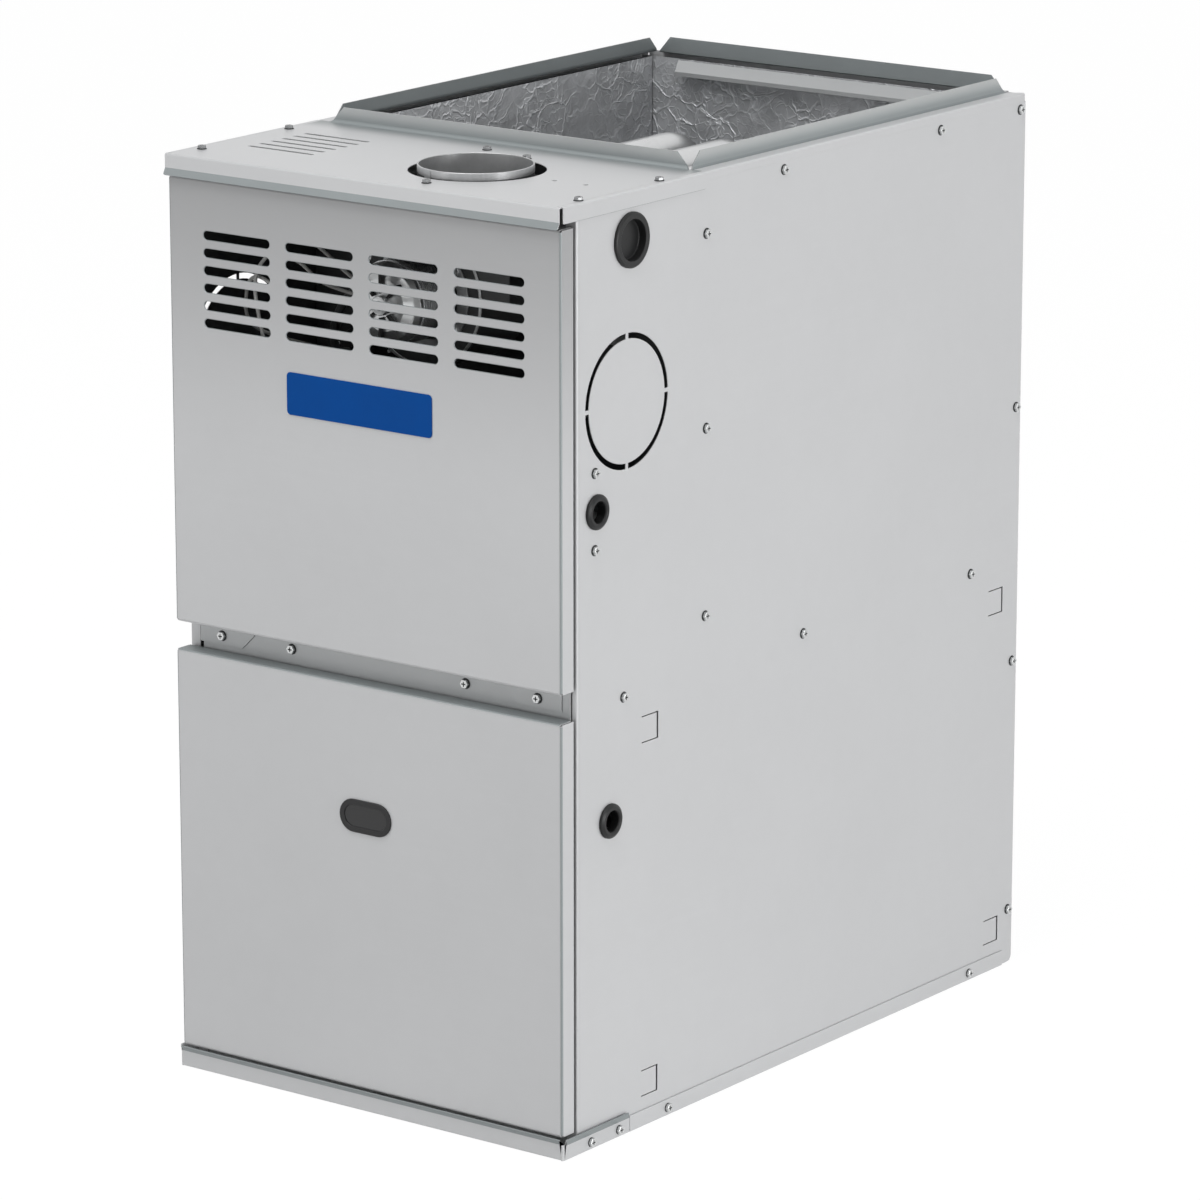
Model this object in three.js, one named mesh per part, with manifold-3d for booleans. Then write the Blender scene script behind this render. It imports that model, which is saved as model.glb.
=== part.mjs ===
// Forced air gas furnace: an upright sheet-metal cabinet with a burner compartment over a blower.
// Millimetres, +Z up, +X to the right as seen from the doors, +Y from the doors to the back.
// Inside the cabinet group Y is measured from the face of the doors; the group is then moved so
// that the origin is the middle of the footprint.

import * as THREE from 'three';
import { mergeVertices } from 'three/addons/utils/BufferGeometryUtils.js';
import Module from 'manifold-3d';

const wasm = await Module();
wasm.setup();

// ---- driving dimensions -------------------------------------------------------------------

const WIDTH = 444.5;
const HEIGHT = 863.6;
const DEPTH = 731;
const SHEET = 1;
const GAP = 0.3;
const HALF = WIDTH / 2;
const INNER = HALF - SHEET;

const CABINET_FRONT = 21.4;
const RETURN_WIDTH = 11.5;
const PLATE_FRONT = -3.5;
const LIP_REACH = 3;
const LIP_BEND_Z = 848;
const LIP_END_Z = 844.3;
const SIDE_LIP_END_Z = 848.4;
const LIP_ROUND = 5;

const DUCT_WIDTH = 406.4;
const DUCT_LENGTH = 508;
const DUCT_FRONT = 213;
const DUCT_BACK = DUCT_FRONT + DUCT_LENGTH;
const DUCT_FLANGE = 15;
const DUCT_MITRE = 14;

const DOOR_HALF = 221.5;
const DOOR_RETURN = 17.5;
const DOOR_CORNER = 1.5;
const UPPER_DOOR_Z = [429, 843.4];
const LOWER_DOOR_Z = [20.8, 403];
const LOUVRE = { x: [-142.9, -47.6, 47.6, 142.9], length: 76.9, width: 8, top: 792.8, pitch: 16.1, rows: 6 };
const NAMEPLATE = { x: -3, z: 660.5, width: 165, height: 39, round: 4, thick: 0.8 };
const SIGHT = { x: 0, z: 279.6, width: 59, height: 31, thick: 1.6 };

const TOE_FACE = -1.6;
const TOE_BEND_Z = 15;
const TOE_TOP_Z = 20;
const TOE_FLARE = 3;
const TOE_WRAP = 98;
const RAIL_END = 713;
const RAIL_HEIGHT = 15;

const DECK_Z = 400;
const DECK_STRIP_FRONT = 19.3;
const DECK_STRIP_TOP = 446;
const STRIP_HALF = 205;
const TAB = { front: 18, inner: 144, low: 158, outer: 207.6, bottom: 408.5, shoulder: 422, top: 446 };

const VESTIBULE = 205;
const LINER_FACE = 201.5;
const LINER_BACK_FACE = 712;
const LINER_TOP = HEIGHT - 4;
const LINER_Z = [DECK_Z + 0.6, LINER_TOP];
const DEFLECTOR_HALF = 172;

const TUBE_X = [-95.25, -31.75, 31.75, 95.25];
const TUBE_Z = [508, 603, 698, 793];
const TUBE_RADIUS = 19;
const TUBE_WALL = 1.4;
const TUBE_TURN_BACK = 585;
const TUBE_TURN_FRONT = 275;

const FLUE = { x: 54, y: 97, inner: 50.8, outer: 52.3, rim: 870, foot: 815.4 };
const FLUE_HOLE = { x: 52.6, y: 100.7, radius: 61.8 };
const TOP_VENT = { x: -148, y: 70.5, length: 76, width: 4.6, pitch: 16, rows: 6 };
const PILOT_HOLES = [[141, 97.5], [175, 98]];
const INDUCER = { x: 0, z: 746, radius: 68, front: 88, back: 159.6 };
const RISER_CROWN = 786;
const MANIFOLD = { y: 96, z: TUBE_Z[0], radius: 11 };
const BURNER_BOX = { half: 132, front: 146, reach: 31 };
const ROLLOUT = { x: 0, z: TUBE_Z[0] + 20.4, back: BURNER_BOX.front - 0.4 };
const PRESSURE_SWITCH = { x: -150, z: 662, radius: 33 };
const DOOR_SWITCH = { x: 112, z: 378 };
const IGNITER_X = 113;
const SENSOR_X = -118;

const BLOWER = { y: 395, z: 200, half: 114, cutoff: 140, reach: 195, inlet: 104 };
const WHEEL = { radius: 127, half: 96, blades: 20 };
const HOUSING_TOP = DECK_Z - SHEET - GAP;
const DISCHARGE = { half: BLOWER.half - 1, front: 348, back: 589 };

// holes in the side panels, as [distance behind the doors, height]
const GAS_HOLE = [100, 819.8];
const GAS_HOLE_RADIUS = 20;
const GROMMET_HOLE_RADIUS = 12;
const LINE_HOLE = [50, 585.5];
const LOW_HOLE = [69.5, 299.5];
const VENT_KNOCKOUT = { y: 94.8, z: 676.7, radius: 58.4, slot: 5.2, tie: 3.7 };
const RETURN_CORNERS = [[130, 372.5], [693, 372.5], [693.5, 40], [130, 40]];
const RETURN_MARK = 25;

// ---- shape helpers --------------------------------------------------------------------------

// A closed three.js geometry as a solid that can be cut and joined. Faces that collapse when equal
// corners are merged, as at the poles of a turned shape, are left out.
function toSolid(geometry) {
  geometry.deleteAttribute('normal');
  geometry.deleteAttribute('uv');
  const merged = mergeVertices(geometry, 1e-4);
  const corners = merged.index.array;
  const kept = [];
  for (let n = 0; n < corners.length; n += 3) {
    const face = [corners[n], corners[n + 1], corners[n + 2]];
    if (new Set(face).size === 3) kept.push(...face);
  }
  const vertProperties = new Float32Array(merged.attributes.position.array);
  const triVerts = new Uint32Array(kept);
  return new wasm.Manifold(new wasm.Mesh({ numProp: 3, vertProperties, triVerts }));
}

// A solid as a geometry that a mesh can show.
function toGeometry(solid) {
  const { vertProperties, triVerts } = solid.getMesh();
  const geometry = new THREE.BufferGeometry();
  geometry.setAttribute('position', new THREE.BufferAttribute(vertProperties, 3));
  geometry.setIndex(new THREE.BufferAttribute(triVerts, 1));
  geometry.computeVertexNormals();
  return geometry;
}

function join(...solids) {
  return solids.flat().reduce((whole, piece) => whole.add(piece));
}

function cut(solid, ...cutters) {
  return cutters.flat().reduce((whole, cutter) => whole.subtract(cutter), solid);
}

function ascending(range) {
  return [...range].sort((a, b) => a - b);
}

// A right-angled block between two values on each axis.
function block(xs, ys, zs) {
  const [x0, x1] = ascending(xs);
  const [y0, y1] = ascending(ys);
  const [z0, z1] = ascending(zs);
  const box = new THREE.BoxGeometry(x1 - x0, y1 - y0, z1 - z0);
  box.translate((x0 + x1) / 2, (y0 + y1) / 2, (z0 + z1) / 2);
  return toSolid(box);
}

// An outline drawn on the plane across an axis, carried along that axis between two values.
// Outlines across x are drawn in (y, z), across y in (x, z) and across z in (x, y).
function plate(axis, outline, range) {
  const [low, high] = ascending(range);
  const geometry = new THREE.ExtrudeGeometry(outline, { depth: high - low, bevelEnabled: false });
  const turn = new THREE.Matrix4();
  if (axis === 'x') {
    geometry.translate(0, 0, low);
    turn.makeBasis(new THREE.Vector3(0, 1, 0), new THREE.Vector3(0, 0, 1), new THREE.Vector3(1, 0, 0));
  } else if (axis === 'y') {
    geometry.translate(0, 0, -high);
    turn.makeBasis(new THREE.Vector3(1, 0, 0), new THREE.Vector3(0, 0, 1), new THREE.Vector3(0, -1, 0));
  } else {
    geometry.translate(0, 0, low);
  }
  geometry.applyMatrix4(turn);
  return toSolid(geometry);
}

// A round bar along an axis; its centre is given on the plane across that axis.
function bar(axis, centre, radius, range, sides = 24) {
  return plate(axis, circle(centre[0], centre[1], radius, sides), range);
}

// A ring with a straight bore.
function ring(axis, centre, outer, inner, range, sides = 24) {
  const outline = circle(centre[0], centre[1], outer, sides);
  outline.holes.push(circle(centre[0], centre[1], inner, sides));
  return plate(axis, outline, range);
}

function polygon(...points) {
  return new THREE.Shape(points.map(([u, v]) => new THREE.Vector2(u, v)));
}

// Points along an arc, both ends included; angles are in quarter turns.
function arc(u, v, radius, from, to, steps) {
  return Array.from({ length: steps + 1 }, (_, n) => {
    const angle = ((from + ((to - from) * n) / steps) * Math.PI) / 2;
    return [u + radius * Math.cos(angle), v + radius * Math.sin(angle)];
  });
}

function circle(u, v, radius, sides = 24) {
  return polygon(...arc(u, v, radius, 0, 4, sides).slice(0, -1));
}

function rectangle([u0, u1], [v0, v1]) {
  return polygon([u0, v0], [u1, v0], [u1, v1], [u0, v1]);
}

function roundedRectangle([u0, u1], [v0, v1], r, steps = 3) {
  return polygon(
    ...arc(u1 - r, v0 + r, r, -1, 0, steps), ...arc(u1 - r, v1 - r, r, 0, 1, steps),
    ...arc(u0 + r, v1 - r, r, 1, 2, steps), ...arc(u0 + r, v0 + r, r, 2, 3, steps),
  );
}

// A slot with round ends, lying along the first direction of the plane.
function slot(u, v, length, width, steps = 3) {
  const r = width / 2;
  const reach = length / 2 - r;
  return polygon(...arc(u + reach, v, r, -1, 1, steps), ...arc(u - reach, v, r, 1, 3, steps));
}

// A profile turned about an axis: points are [radius, distance along the axis].
function turned(axis, centre, points, sides = 24) {
  const geometry = new THREE.LatheGeometry(points.map(([r, d]) => new THREE.Vector2(r, d)), sides);
  if (axis === 'x') {
    geometry.rotateZ(-Math.PI / 2);
    geometry.translate(0, centre[0], centre[1]);
  } else if (axis === 'y') {
    geometry.translate(centre[0], 0, centre[1]);
  } else {
    geometry.rotateX(Math.PI / 2);
    geometry.translate(centre[0], centre[1], 0);
  }
  return toSolid(geometry);
}

// A run of lines and bends whose sections fall only where each one needs them.
class Route extends THREE.Curve {
  constructor(stretches) {
    super();
    this.stretches = stretches;
    this.steps = stretches.reduce((total, stretch) => total + stretch.steps, 0);
  }

  getPoint(t, target = new THREE.Vector3()) {
    let place = t * this.steps;
    for (const { curve, steps } of this.stretches) {
      if (place <= steps + 1e-9) return target.copy(curve.getPoint(Math.min(place / steps, 1)));
      place -= steps;
    }
    return target.copy(this.stretches.at(-1).curve.getPoint(1));
  }

  getPointAt(t, target) {
    return this.getPoint(t, target);
  }

  getTangentAt(t, target) {
    return this.getTangent(t, target);
  }
}

// A round tube along a route, hollow from end to end.
function tube(route, radius, bore, sides, boreSides) {
  const section = circle(0, 0, radius, sides);
  section.holes.push(circle(0, 0, bore, boreSides));
  return toSolid(new THREE.ExtrudeGeometry(section, { steps: route.steps, extrudePath: route }));
}

function line(from, to) {
  return { curve: new THREE.LineCurve3(new THREE.Vector3(...from), new THREE.Vector3(...to)), steps: 1 };
}

// ---- finishes ---------------------------------------------------------------------------------

function finish(color, roughness, metalness) {
  return { color, roughness, metalness };
}

const FINISH = {
  cabinet: finish(0xc4c7c8, 0.38, 0.75),
  galvanised: finish(0xaeb3b4, 0.42, 0.85),
  foil: finish(0x8f9294, 0.5, 0.9),
  tubes: finish(0xd2d4d6, 0.25, 0.95),
  brushed: finish(0xc9cbcc, 0.25, 1),
  black: finish(0x2c2d2d, 0.55, 0),
  darkMetal: finish(0x3c3e40, 0.45, 0.6),
  cast: finish(0xb4b6b8, 0.5, 0.8),
  brass: finish(0xb99a52, 0.35, 0.9),
  blue: finish(0x004b9b, 0.35, 0),
  board: finish(0x1f6b3c, 0.5, 0),
  ceramic: finish(0xe9e4d8, 0.6, 0),
  rubber: finish(0x6f7173, 0.8, 0),
};

const cabinet = new THREE.Group();

function add(name, solid, look) {
  const mesh = new THREE.Mesh(toGeometry(solid), new THREE.MeshStandardMaterial(look));
  mesh.name = name;
  cabinet.add(mesh);
}

// ---- casing -------------------------------------------------------------------------------------

// Four arcs that free a disc of the panel except at four ties.
function knockoutSlots({ y, z, radius, slot: width, tie }) {
  const half = tie / radius / Math.PI;
  const steps = 8;
  return [0, 1, 2, 3].map((quarter) => polygon(
    ...arc(y, z, radius + width / 2, quarter + half, quarter + 1 - half, steps),
    ...arc(y, z, radius - width / 2, quarter + 1 - half, quarter + half, steps),
  ));
}

// A square mark cut on three sides, still held on its front side.
function squareMark([y, z]) {
  const half = RETURN_MARK / 2;
  const fine = 0.8;
  return polygon(
    [y - half, z - half], [y + half, z - half], [y + half, z + half], [y - half, z + half],
    [y - half, z + half - fine], [y + half - fine, z + half - fine],
    [y + half - fine, z - half + fine], [y - half, z - half + fine],
  );
}

function sidePanel(side, grommetHoles) {
  const round = 7;
  const outline = polygon(
    [CABINET_FRONT, GAP], ...arc(DEPTH - round, round + GAP, round, -1, 0, 5), [DEPTH, HEIGHT],
    [DUCT_FRONT + GAP, HEIGHT], [DUCT_FRONT + GAP, HEIGHT - SHEET - GAP],
    [CABINET_FRONT, HEIGHT - SHEET - GAP],
  );
  outline.holes.push(circle(GAS_HOLE[0], GAS_HOLE[1], GAS_HOLE_RADIUS, 20));
  grommetHoles.forEach(([y, z]) => outline.holes.push(circle(y, z, GROMMET_HOLE_RADIUS, 18)));
  outline.holes.push(...knockoutSlots(VENT_KNOCKOUT));
  const through = [side * (INNER - 1), side * (HALF + 1)];
  const marks = RETURN_CORNERS.map((place) => plate('x', squareMark(place), through));
  const wall = cut(plate('x', outline, [side * INNER, side * HALF]), marks);
  const frontReturn = block(
    [side * (HALF - RETURN_WIDTH), side * HALF], [CABINET_FRONT, CABINET_FRONT + SHEET],
    [GAP, HEIGHT - SHEET - GAP],
  );
  const ductFace = side * (DUCT_WIDTH / 2);
  const ledge = block(
    [ductFace, side * HALF], [DUCT_FRONT + GAP, DEPTH - SHEET - GAP], [HEIGHT - SHEET, HEIGHT],
  );
  const flange = plate('x', polygon(
    [DUCT_FRONT + 1.6, HEIGHT - SHEET], [DUCT_BACK, HEIGHT - SHEET], [DUCT_BACK, HEIGHT],
    [DUCT_BACK - DUCT_MITRE, HEIGHT + DUCT_FLANGE], [DUCT_FRONT + DUCT_MITRE, HEIGHT + DUCT_FLANGE],
    [DUCT_FRONT + 1.6, HEIGHT + 1.6],
  ), [ductFace, ductFace + side * SHEET]);
  return join(wall, frontReturn, ledge, flange);
}

function backPanel() {
  const half = INNER - GAP;
  const wall = block([-half, half], [DEPTH - SHEET, DEPTH], [GAP, HEIGHT - SHEET - GAP]);
  const edges = [-1, 1].map((side) => block(
    [side * half, side * (half - SHEET)], [DEPTH - 21, DEPTH], [SHEET + GAP, HEIGHT - 24],
  ));
  const ductHalf = DUCT_WIDTH / 2 - GAP;
  const top = block([-ductHalf, ductHalf], [DUCT_BACK, DEPTH], [HEIGHT - SHEET, HEIGHT]);
  const tie = block([-ductHalf, ductHalf], [DEPTH - SHEET, DEPTH], [HEIGHT - 3, HEIGHT]);
  const flange = plate('y', polygon(
    [-ductHalf, HEIGHT - SHEET], [ductHalf, HEIGHT - SHEET], [ductHalf, HEIGHT],
    [ductHalf - DUCT_MITRE, HEIGHT + DUCT_FLANGE], [DUCT_MITRE - ductHalf, HEIGHT + DUCT_FLANGE],
    [-ductHalf, HEIGHT],
  ), [DUCT_BACK + GAP, DUCT_BACK + GAP + SHEET]);
  return join(wall, edges, top, tie, flange);
}

function topPlate() {
  const lipFace = HALF + GAP + SHEET;
  const outline = rectangle([-lipFace, lipFace], [PLATE_FRONT, DUCT_FRONT]);
  outline.holes.push(circle(FLUE_HOLE.x, FLUE_HOLE.y, FLUE_HOLE.radius, 36));
  const { x, y, length, width, pitch, rows } = TOP_VENT;
  for (let row = 0; row < rows; row += 1) {
    outline.holes.push(slot(x, y + row * pitch, length, width));
  }
  outline.holes.push(...PILOT_HOLES.map(([u, v]) => circle(u, v, 2.4, 8)));
  const sheet = plate('z', outline, [HEIGHT - SHEET, HEIGHT]);
  const lipSection = polygon(
    [PLATE_FRONT, HEIGHT], [PLATE_FRONT + SHEET, HEIGHT], [PLATE_FRONT + SHEET, LIP_BEND_Z - 0.4],
    [PLATE_FRONT - LIP_REACH + 0.8, LIP_END_Z - 0.6], [PLATE_FRONT - LIP_REACH, LIP_END_Z],
    [PLATE_FRONT, LIP_BEND_Z],
  );
  const frontLip = plate('x', lipSection, [-HALF, HALF]).intersect(plate('y', roundedRectangle(
    [-HALF, HALF], [LIP_END_Z - 0.7, HEIGHT + 20], 6,
  ), [PLATE_FRONT - 5, PLATE_FRONT + 5]));
  const lipOutline = polygon(
    [-1.5, HEIGHT], [-1.5, SIDE_LIP_END_Z],
    ...arc(DUCT_FRONT - LIP_ROUND, SIDE_LIP_END_Z + LIP_ROUND, LIP_ROUND, -1, 0, 4), [DUCT_FRONT, HEIGHT],
  );
  const sideLips = [-1, 1].map((side) => plate('x', lipOutline, [side * (HALF + GAP), side * lipFace]));
  const ductHalf = DUCT_WIDTH / 2 + SHEET;
  const flange = plate('y', polygon(
    [-ductHalf, HEIGHT - SHEET], [ductHalf, HEIGHT - SHEET], [ductHalf, HEIGHT],
    [ductHalf - DUCT_MITRE, HEIGHT + DUCT_FLANGE], [DUCT_MITRE - ductHalf, HEIGHT + DUCT_FLANGE],
    [-ductHalf, HEIGHT],
  ), [DUCT_FRONT - SHEET, DUCT_FRONT]);
  return join(sheet, frontLip, sideLips, flange);
}

function basePan() {
  const half = INNER - GAP;
  const front = CABINET_FRONT + SHEET + 0.6;
  const back = DEPTH - SHEET - GAP;
  const floor = block([-half, half], [front, back], [0, SHEET]);
  const height = 20;
  const sides = [-1, 1].map((side) => block(
    [side * half, side * (half - SHEET)], [front, DEPTH - 24], [0, height],
  ));
  const ends = [[front, front + SHEET], [back - SHEET, back]].map((ys) => block(
    [-half + 6, half - 6], ys, [0, height],
  ));
  return join(floor, sides, ends);
}

function toePlate() {
  const inside = HALF + GAP;
  const face = inside + SHEET;
  const frontSection = polygon(
    [TOE_FACE, 0], [TOE_FACE + SHEET, 0], [TOE_FACE + SHEET, TOE_BEND_Z - 0.3],
    [TOE_FACE - TOE_FLARE + 0.8, TOE_TOP_Z], [TOE_FACE - TOE_FLARE, TOE_TOP_Z - 0.4], [TOE_FACE, TOE_BEND_Z],
  );
  const front = plate('x', frontSection, [-face, face]);
  const web = block([-inside - 0.2, inside + 0.2], [TOE_FACE, CABINET_FRONT - GAP], [0, SHEET]);
  const wraps = [-1, 1].map((side) => plate('y', polygon(
    [side * inside, 0], [side * face, 0], [side * face, 13.3], [side * (face + 2.6), TOE_TOP_Z - 0.5],
    [side * (face + 1.8), TOE_TOP_Z], [side * inside, 13.8],
  ), [TOE_FACE, TOE_WRAP]));
  return join(front, web, wraps);
}

function baseRail(side) {
  const inside = side * (HALF + GAP);
  return block([inside, inside + side * 1.3], [TOE_WRAP + 0.4, RAIL_END], [0, RAIL_HEIGHT]);
}

// The shelf between blower and burners; its front edge is turned up into the strip between doors.
function blowerDeck() {
  const half = INNER - GAP;
  const behindReturns = CABINET_FRONT + SHEET + 1;
  const shelf = block([-half, half], [behindReturns, DEPTH - 23], [DECK_Z - SHEET, DECK_Z]);
  const across = [-STRIP_HALF, STRIP_HALF];
  const nose = block(across, [DECK_STRIP_FRONT, behindReturns + 1], [DECK_Z - SHEET, DECK_Z]);
  const strip = block(
    across, [DECK_STRIP_FRONT, DECK_STRIP_FRONT + SHEET], [DECK_Z - SHEET, DECK_STRIP_TOP],
  );
  const sides = [-1, 1].map((side) => block(
    [side * half, side * (half - SHEET)], [behindReturns, DEPTH - 23], [DECK_Z - SHEET, DECK_Z + 19],
  ));
  const discharge = block(
    [-DISCHARGE.half, DISCHARGE.half], [DISCHARGE.front, DISCHARGE.back], [DECK_Z - 5, DECK_Z + 5],
  );
  return cut(join(shelf, nose, strip, sides), discharge);
}

// A corner plate over each end of the strip, with a mitred inner end.
function latchTab(side) {
  const outline = polygon(
    [side * TAB.low, TAB.bottom], [side * TAB.outer, TAB.bottom], [side * TAB.outer, TAB.top],
    [side * TAB.inner, TAB.top], [side * TAB.inner, TAB.shoulder],
  );
  return plate('y', outline, [TAB.front, TAB.front + SHEET]);
}

// The wall between the burner compartment and the heat exchanger.
function vestibulePanel() {
  const half = INNER - GAP - SHEET - GAP;
  const outline = rectangle([-half, half], [DECK_Z + GAP, HEIGHT - SHEET - GAP]);
  TUBE_X.forEach((x) => {
    outline.holes.push(circle(x, TUBE_Z[0], TUBE_RADIUS - 1, 12), circle(x, TUBE_Z[3], TUBE_RADIUS - 1, 12));
  });
  const wall = plate('y', outline, [VESTIBULE, VESTIBULE + SHEET]);
  const edges = [-1, 1].map((side) => block(
    [side * half, side * (half - SHEET)], [VESTIBULE, VESTIBULE + 17], [DECK_Z + 25, HEIGHT - 20],
  ));
  return join(wall, edges);
}

// ---- heat section -------------------------------------------------------------------------------

function sideLiner(side) {
  return block([side * LINER_FACE, side * 218], [VESTIBULE + SHEET + 0.4, LINER_BACK_FACE - 0.4], LINER_Z);
}

function backLiner() {
  return block([-218, 218], [LINER_BACK_FACE, DEPTH - 3.5], LINER_Z);
}

// A shallow hood on the back wall that turns the air into the duct.
function rearDeflector() {
  const face = LINER_BACK_FACE - 0.4;
  const section = polygon(
    [face, 858.6], [face, 857.6], [face - 13.4, 849.2], [face - 13.4, 845.6], [face - 14.4, 845.6],
    [face - 14.4, 849.9], [face - 0.8, 858.6],
  );
  const skew = 9;
  const ends = plate('z', polygon(
    [-DEFLECTOR_HALF, face + 1], [skew - DEFLECTOR_HALF, face - 20], [DEFLECTOR_HALF - skew, face - 20],
    [DEFLECTOR_HALF, face + 1],
  ), [840, 860]);
  return plate('x', section, [-DEFLECTOR_HALF, DEFLECTOR_HALF]).intersect(ends);
}

// A half turn between two heights in the plane of one tube, bulging to the back or the front.
function halfTurn(x, y, lowZ, highZ, direction) {
  const radius = (highZ - lowZ) / 2;
  const centre = new THREE.Vector3(x, y, (lowZ + highZ) / 2);
  const bend = new THREE.Curve();
  bend.getPoint = (t, target = new THREE.Vector3()) => {
    const angle = -Math.PI / 2 + t * Math.PI;
    const reach = direction * radius * Math.cos(angle);
    return target.set(centre.x, centre.y + reach, centre.z + radius * Math.sin(angle));
  };
  return { curve: bend, steps: 5 };
}

// One four-pass tube: burner end low, collector end high.
function exchangerTube(x) {
  const mouth = VESTIBULE + SHEET + 0.4;
  return tube(new Route([
    line([x, mouth, TUBE_Z[0]], [x, TUBE_TURN_BACK, TUBE_Z[0]]),
    halfTurn(x, TUBE_TURN_BACK, TUBE_Z[0], TUBE_Z[1], 1),
    line([x, TUBE_TURN_BACK, TUBE_Z[1]], [x, TUBE_TURN_FRONT, TUBE_Z[1]]),
    halfTurn(x, TUBE_TURN_FRONT, TUBE_Z[1], TUBE_Z[2], -1),
    line([x, TUBE_TURN_FRONT, TUBE_Z[2]], [x, TUBE_TURN_BACK, TUBE_Z[2]]),
    halfTurn(x, TUBE_TURN_BACK, TUBE_Z[2], TUBE_Z[3], 1),
    line([x, TUBE_TURN_BACK, TUBE_Z[3]], [x, mouth, TUBE_Z[3]]),
  ]), TUBE_RADIUS, TUBE_RADIUS - TUBE_WALL, 10, 6);
}

// The box that gathers the tubes' upper ends, open to the tubes and to the inducer.
function collectorBox() {
  const back = VESTIBULE - 0.4;
  const shell = block([-128, 128], [INDUCER.back + 0.4, back], [706, 830]);
  const hollow = block([-126.5, 126.5], [INDUCER.back + 1.9, back + 5], [707.5, 828.5]);
  const inlet = bar('y', [INDUCER.x, INDUCER.z], 30, [INDUCER.back - 5, INDUCER.back + 5], 20);
  const lip = block([-140, 140], [back - 1.2, back], [696, 842]);
  const lipHollow = block([-126.5, 126.5], [back - 5, back + 5], [707.5, 828.5]);
  return cut(join(shell, cut(lip, lipHollow)), hollow, inlet);
}

function inducerHousing() {
  const { x, z, radius, front, back } = INDUCER;
  const neck = [FLUE.x - 44, FLUE.x + 44];
  const topZ = FLUE.foot - 0.4;
  const wall = 2;
  const scroll = bar('y', [x, z], radius, [front, back], 32);
  const riser = block(neck, [front, FLUE.y + 50], [z, topZ - 8]);
  const crown = block(neck, [FLUE.y - 50, FLUE.y + 50], [RISER_CROWN, topZ - 8]);
  const collarSeat = bar('z', [FLUE.x, FLUE.y], FLUE.outer, [topZ - 12, topZ], 28);
  const scrollHollow = bar('y', [x, z], radius - wall, [front + wall, back - wall], 32);
  const riserHollow = block(
    [neck[0] + wall, neck[1] - wall], [front + wall, FLUE.y + 50 - wall], [z, topZ - 10],
  );
  const crownHollow = block(
    [neck[0] + wall, neck[1] - wall], [FLUE.y - 50 + wall, FLUE.y + 50 - wall],
    [RISER_CROWN + wall, topZ - 10],
  );
  const seatHollow = bar('z', [FLUE.x, FLUE.y], FLUE.inner - 1, [topZ - 10, topZ + 5], 28);
  const inlet = bar('y', [x, z], 30, [back - 10, back + 5], 20);
  const shaftHole = bar('y', [x, z], 6, [front - 5, front + 10], 8);
  const hollows = [scrollHollow, riserHollow, crownHollow, seatHollow, inlet, shaftHole];
  return cut(join(scroll, riser, crown, collarSeat), hollows);
}

function inducerMotor() {
  const { x, z, front } = INDUCER;
  const can = turned('y', [x, z], [
    [0, 30], [24, 30], [34, 33], [38, 38], [38, 76], [34, 80], [12, 80], [12, front - 0.4], [0, front - 0.4],
  ], 20);
  const bore = bar('y', [x, z], 4.4, [70, front + 5], 10);
  const fan = turned('y', [x, z], [[0, 25], [9, 25], [9, 31], [0, 31]], 10);
  return cut(join(can, fan), bore);
}

// The draught fan: a back plate with radial blades and a shaft into the motor.
function inducerWheel() {
  const { x, z, front } = INDUCER;
  const disc = bar('y', [x, z], 56, [front + 12, front + 14], 24);
  const shaft = bar('y', [x, z], 4, [front - 16, front + 40], 8);
  const blades = Array.from({ length: 8 }, (_, n) => {
    const blade = new THREE.BoxGeometry(40, 34, 2);
    blade.translate(34, 0, 0);
    blade.rotateY((n * Math.PI) / 4);
    blade.translate(x, front + 30, z);
    return toSolid(blade);
  });
  const hub = bar('y', [x, z], 15, [front + 10, front + 46], 12);
  return join(disc, hub, shaft, blades);
}

function flueCollar() {
  return ring('z', [FLUE.x, FLUE.y], FLUE.outer, FLUE.inner, [FLUE.foot, FLUE.rim], 36);
}

// An inshot burner: a bell mouth, a throat and a wide head, open from end to end.
function burner(x) {
  return turned('y', [x, TUBE_Z[0]], [
    [14, 118], [8.5, 140], [8.5, 152], [15.5, 172], [15.5, 196], [14, 196], [14, 172.4],
    [7, 152.4], [7, 139.6], [12.5, 118], [14, 118],
  ], 12);
}

// The tray that holds the four burners in line with the tubes.
function burnerBox() {
  const { half, front, reach } = BURNER_BOX;
  const z = TUBE_Z[0];
  const deep = [front, VESTIBULE - 0.4];
  const across = [-half, half];
  const floor = block(across, deep, [z - reach, z - reach + SHEET]);
  const roof = block(across, deep, [z + reach - SHEET, z + reach]);
  const cheeks = [-1, 1].map((side) => block(
    [side * half, side * (half - SHEET)], deep, [z - reach, z + reach],
  ));
  const outline = rectangle(across, [z - reach, z + reach]);
  TUBE_X.forEach((x) => outline.holes.push(circle(x, z, 9.4, 12)));
  return join(floor, roof, cheeks, plate('y', outline, [front, front + SHEET]));
}

// The pipe that feeds the four burners, with an orifice pointing into each.
function gasManifold() {
  const { y, z, radius } = MANIFOLD;
  const pipe = turned('x', [y, z], [[0, -118], [radius + 3, -118], [radius + 3, -106], [radius, -106],
    [radius, 132], [0, 132]], 12);
  const orifices = TUBE_X.map((x) => turned('y', [x, z], [
    [0, y], [8, y], [8, y + 14], [3, y + 20], [0, y + 20],
  ], 6));
  const feet = [-62, 62].map((x) => block([x - 8, x + 8], [y - 4, y + 4], [z - 30, z]));
  return join(pipe, orifices, feet);
}

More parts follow.
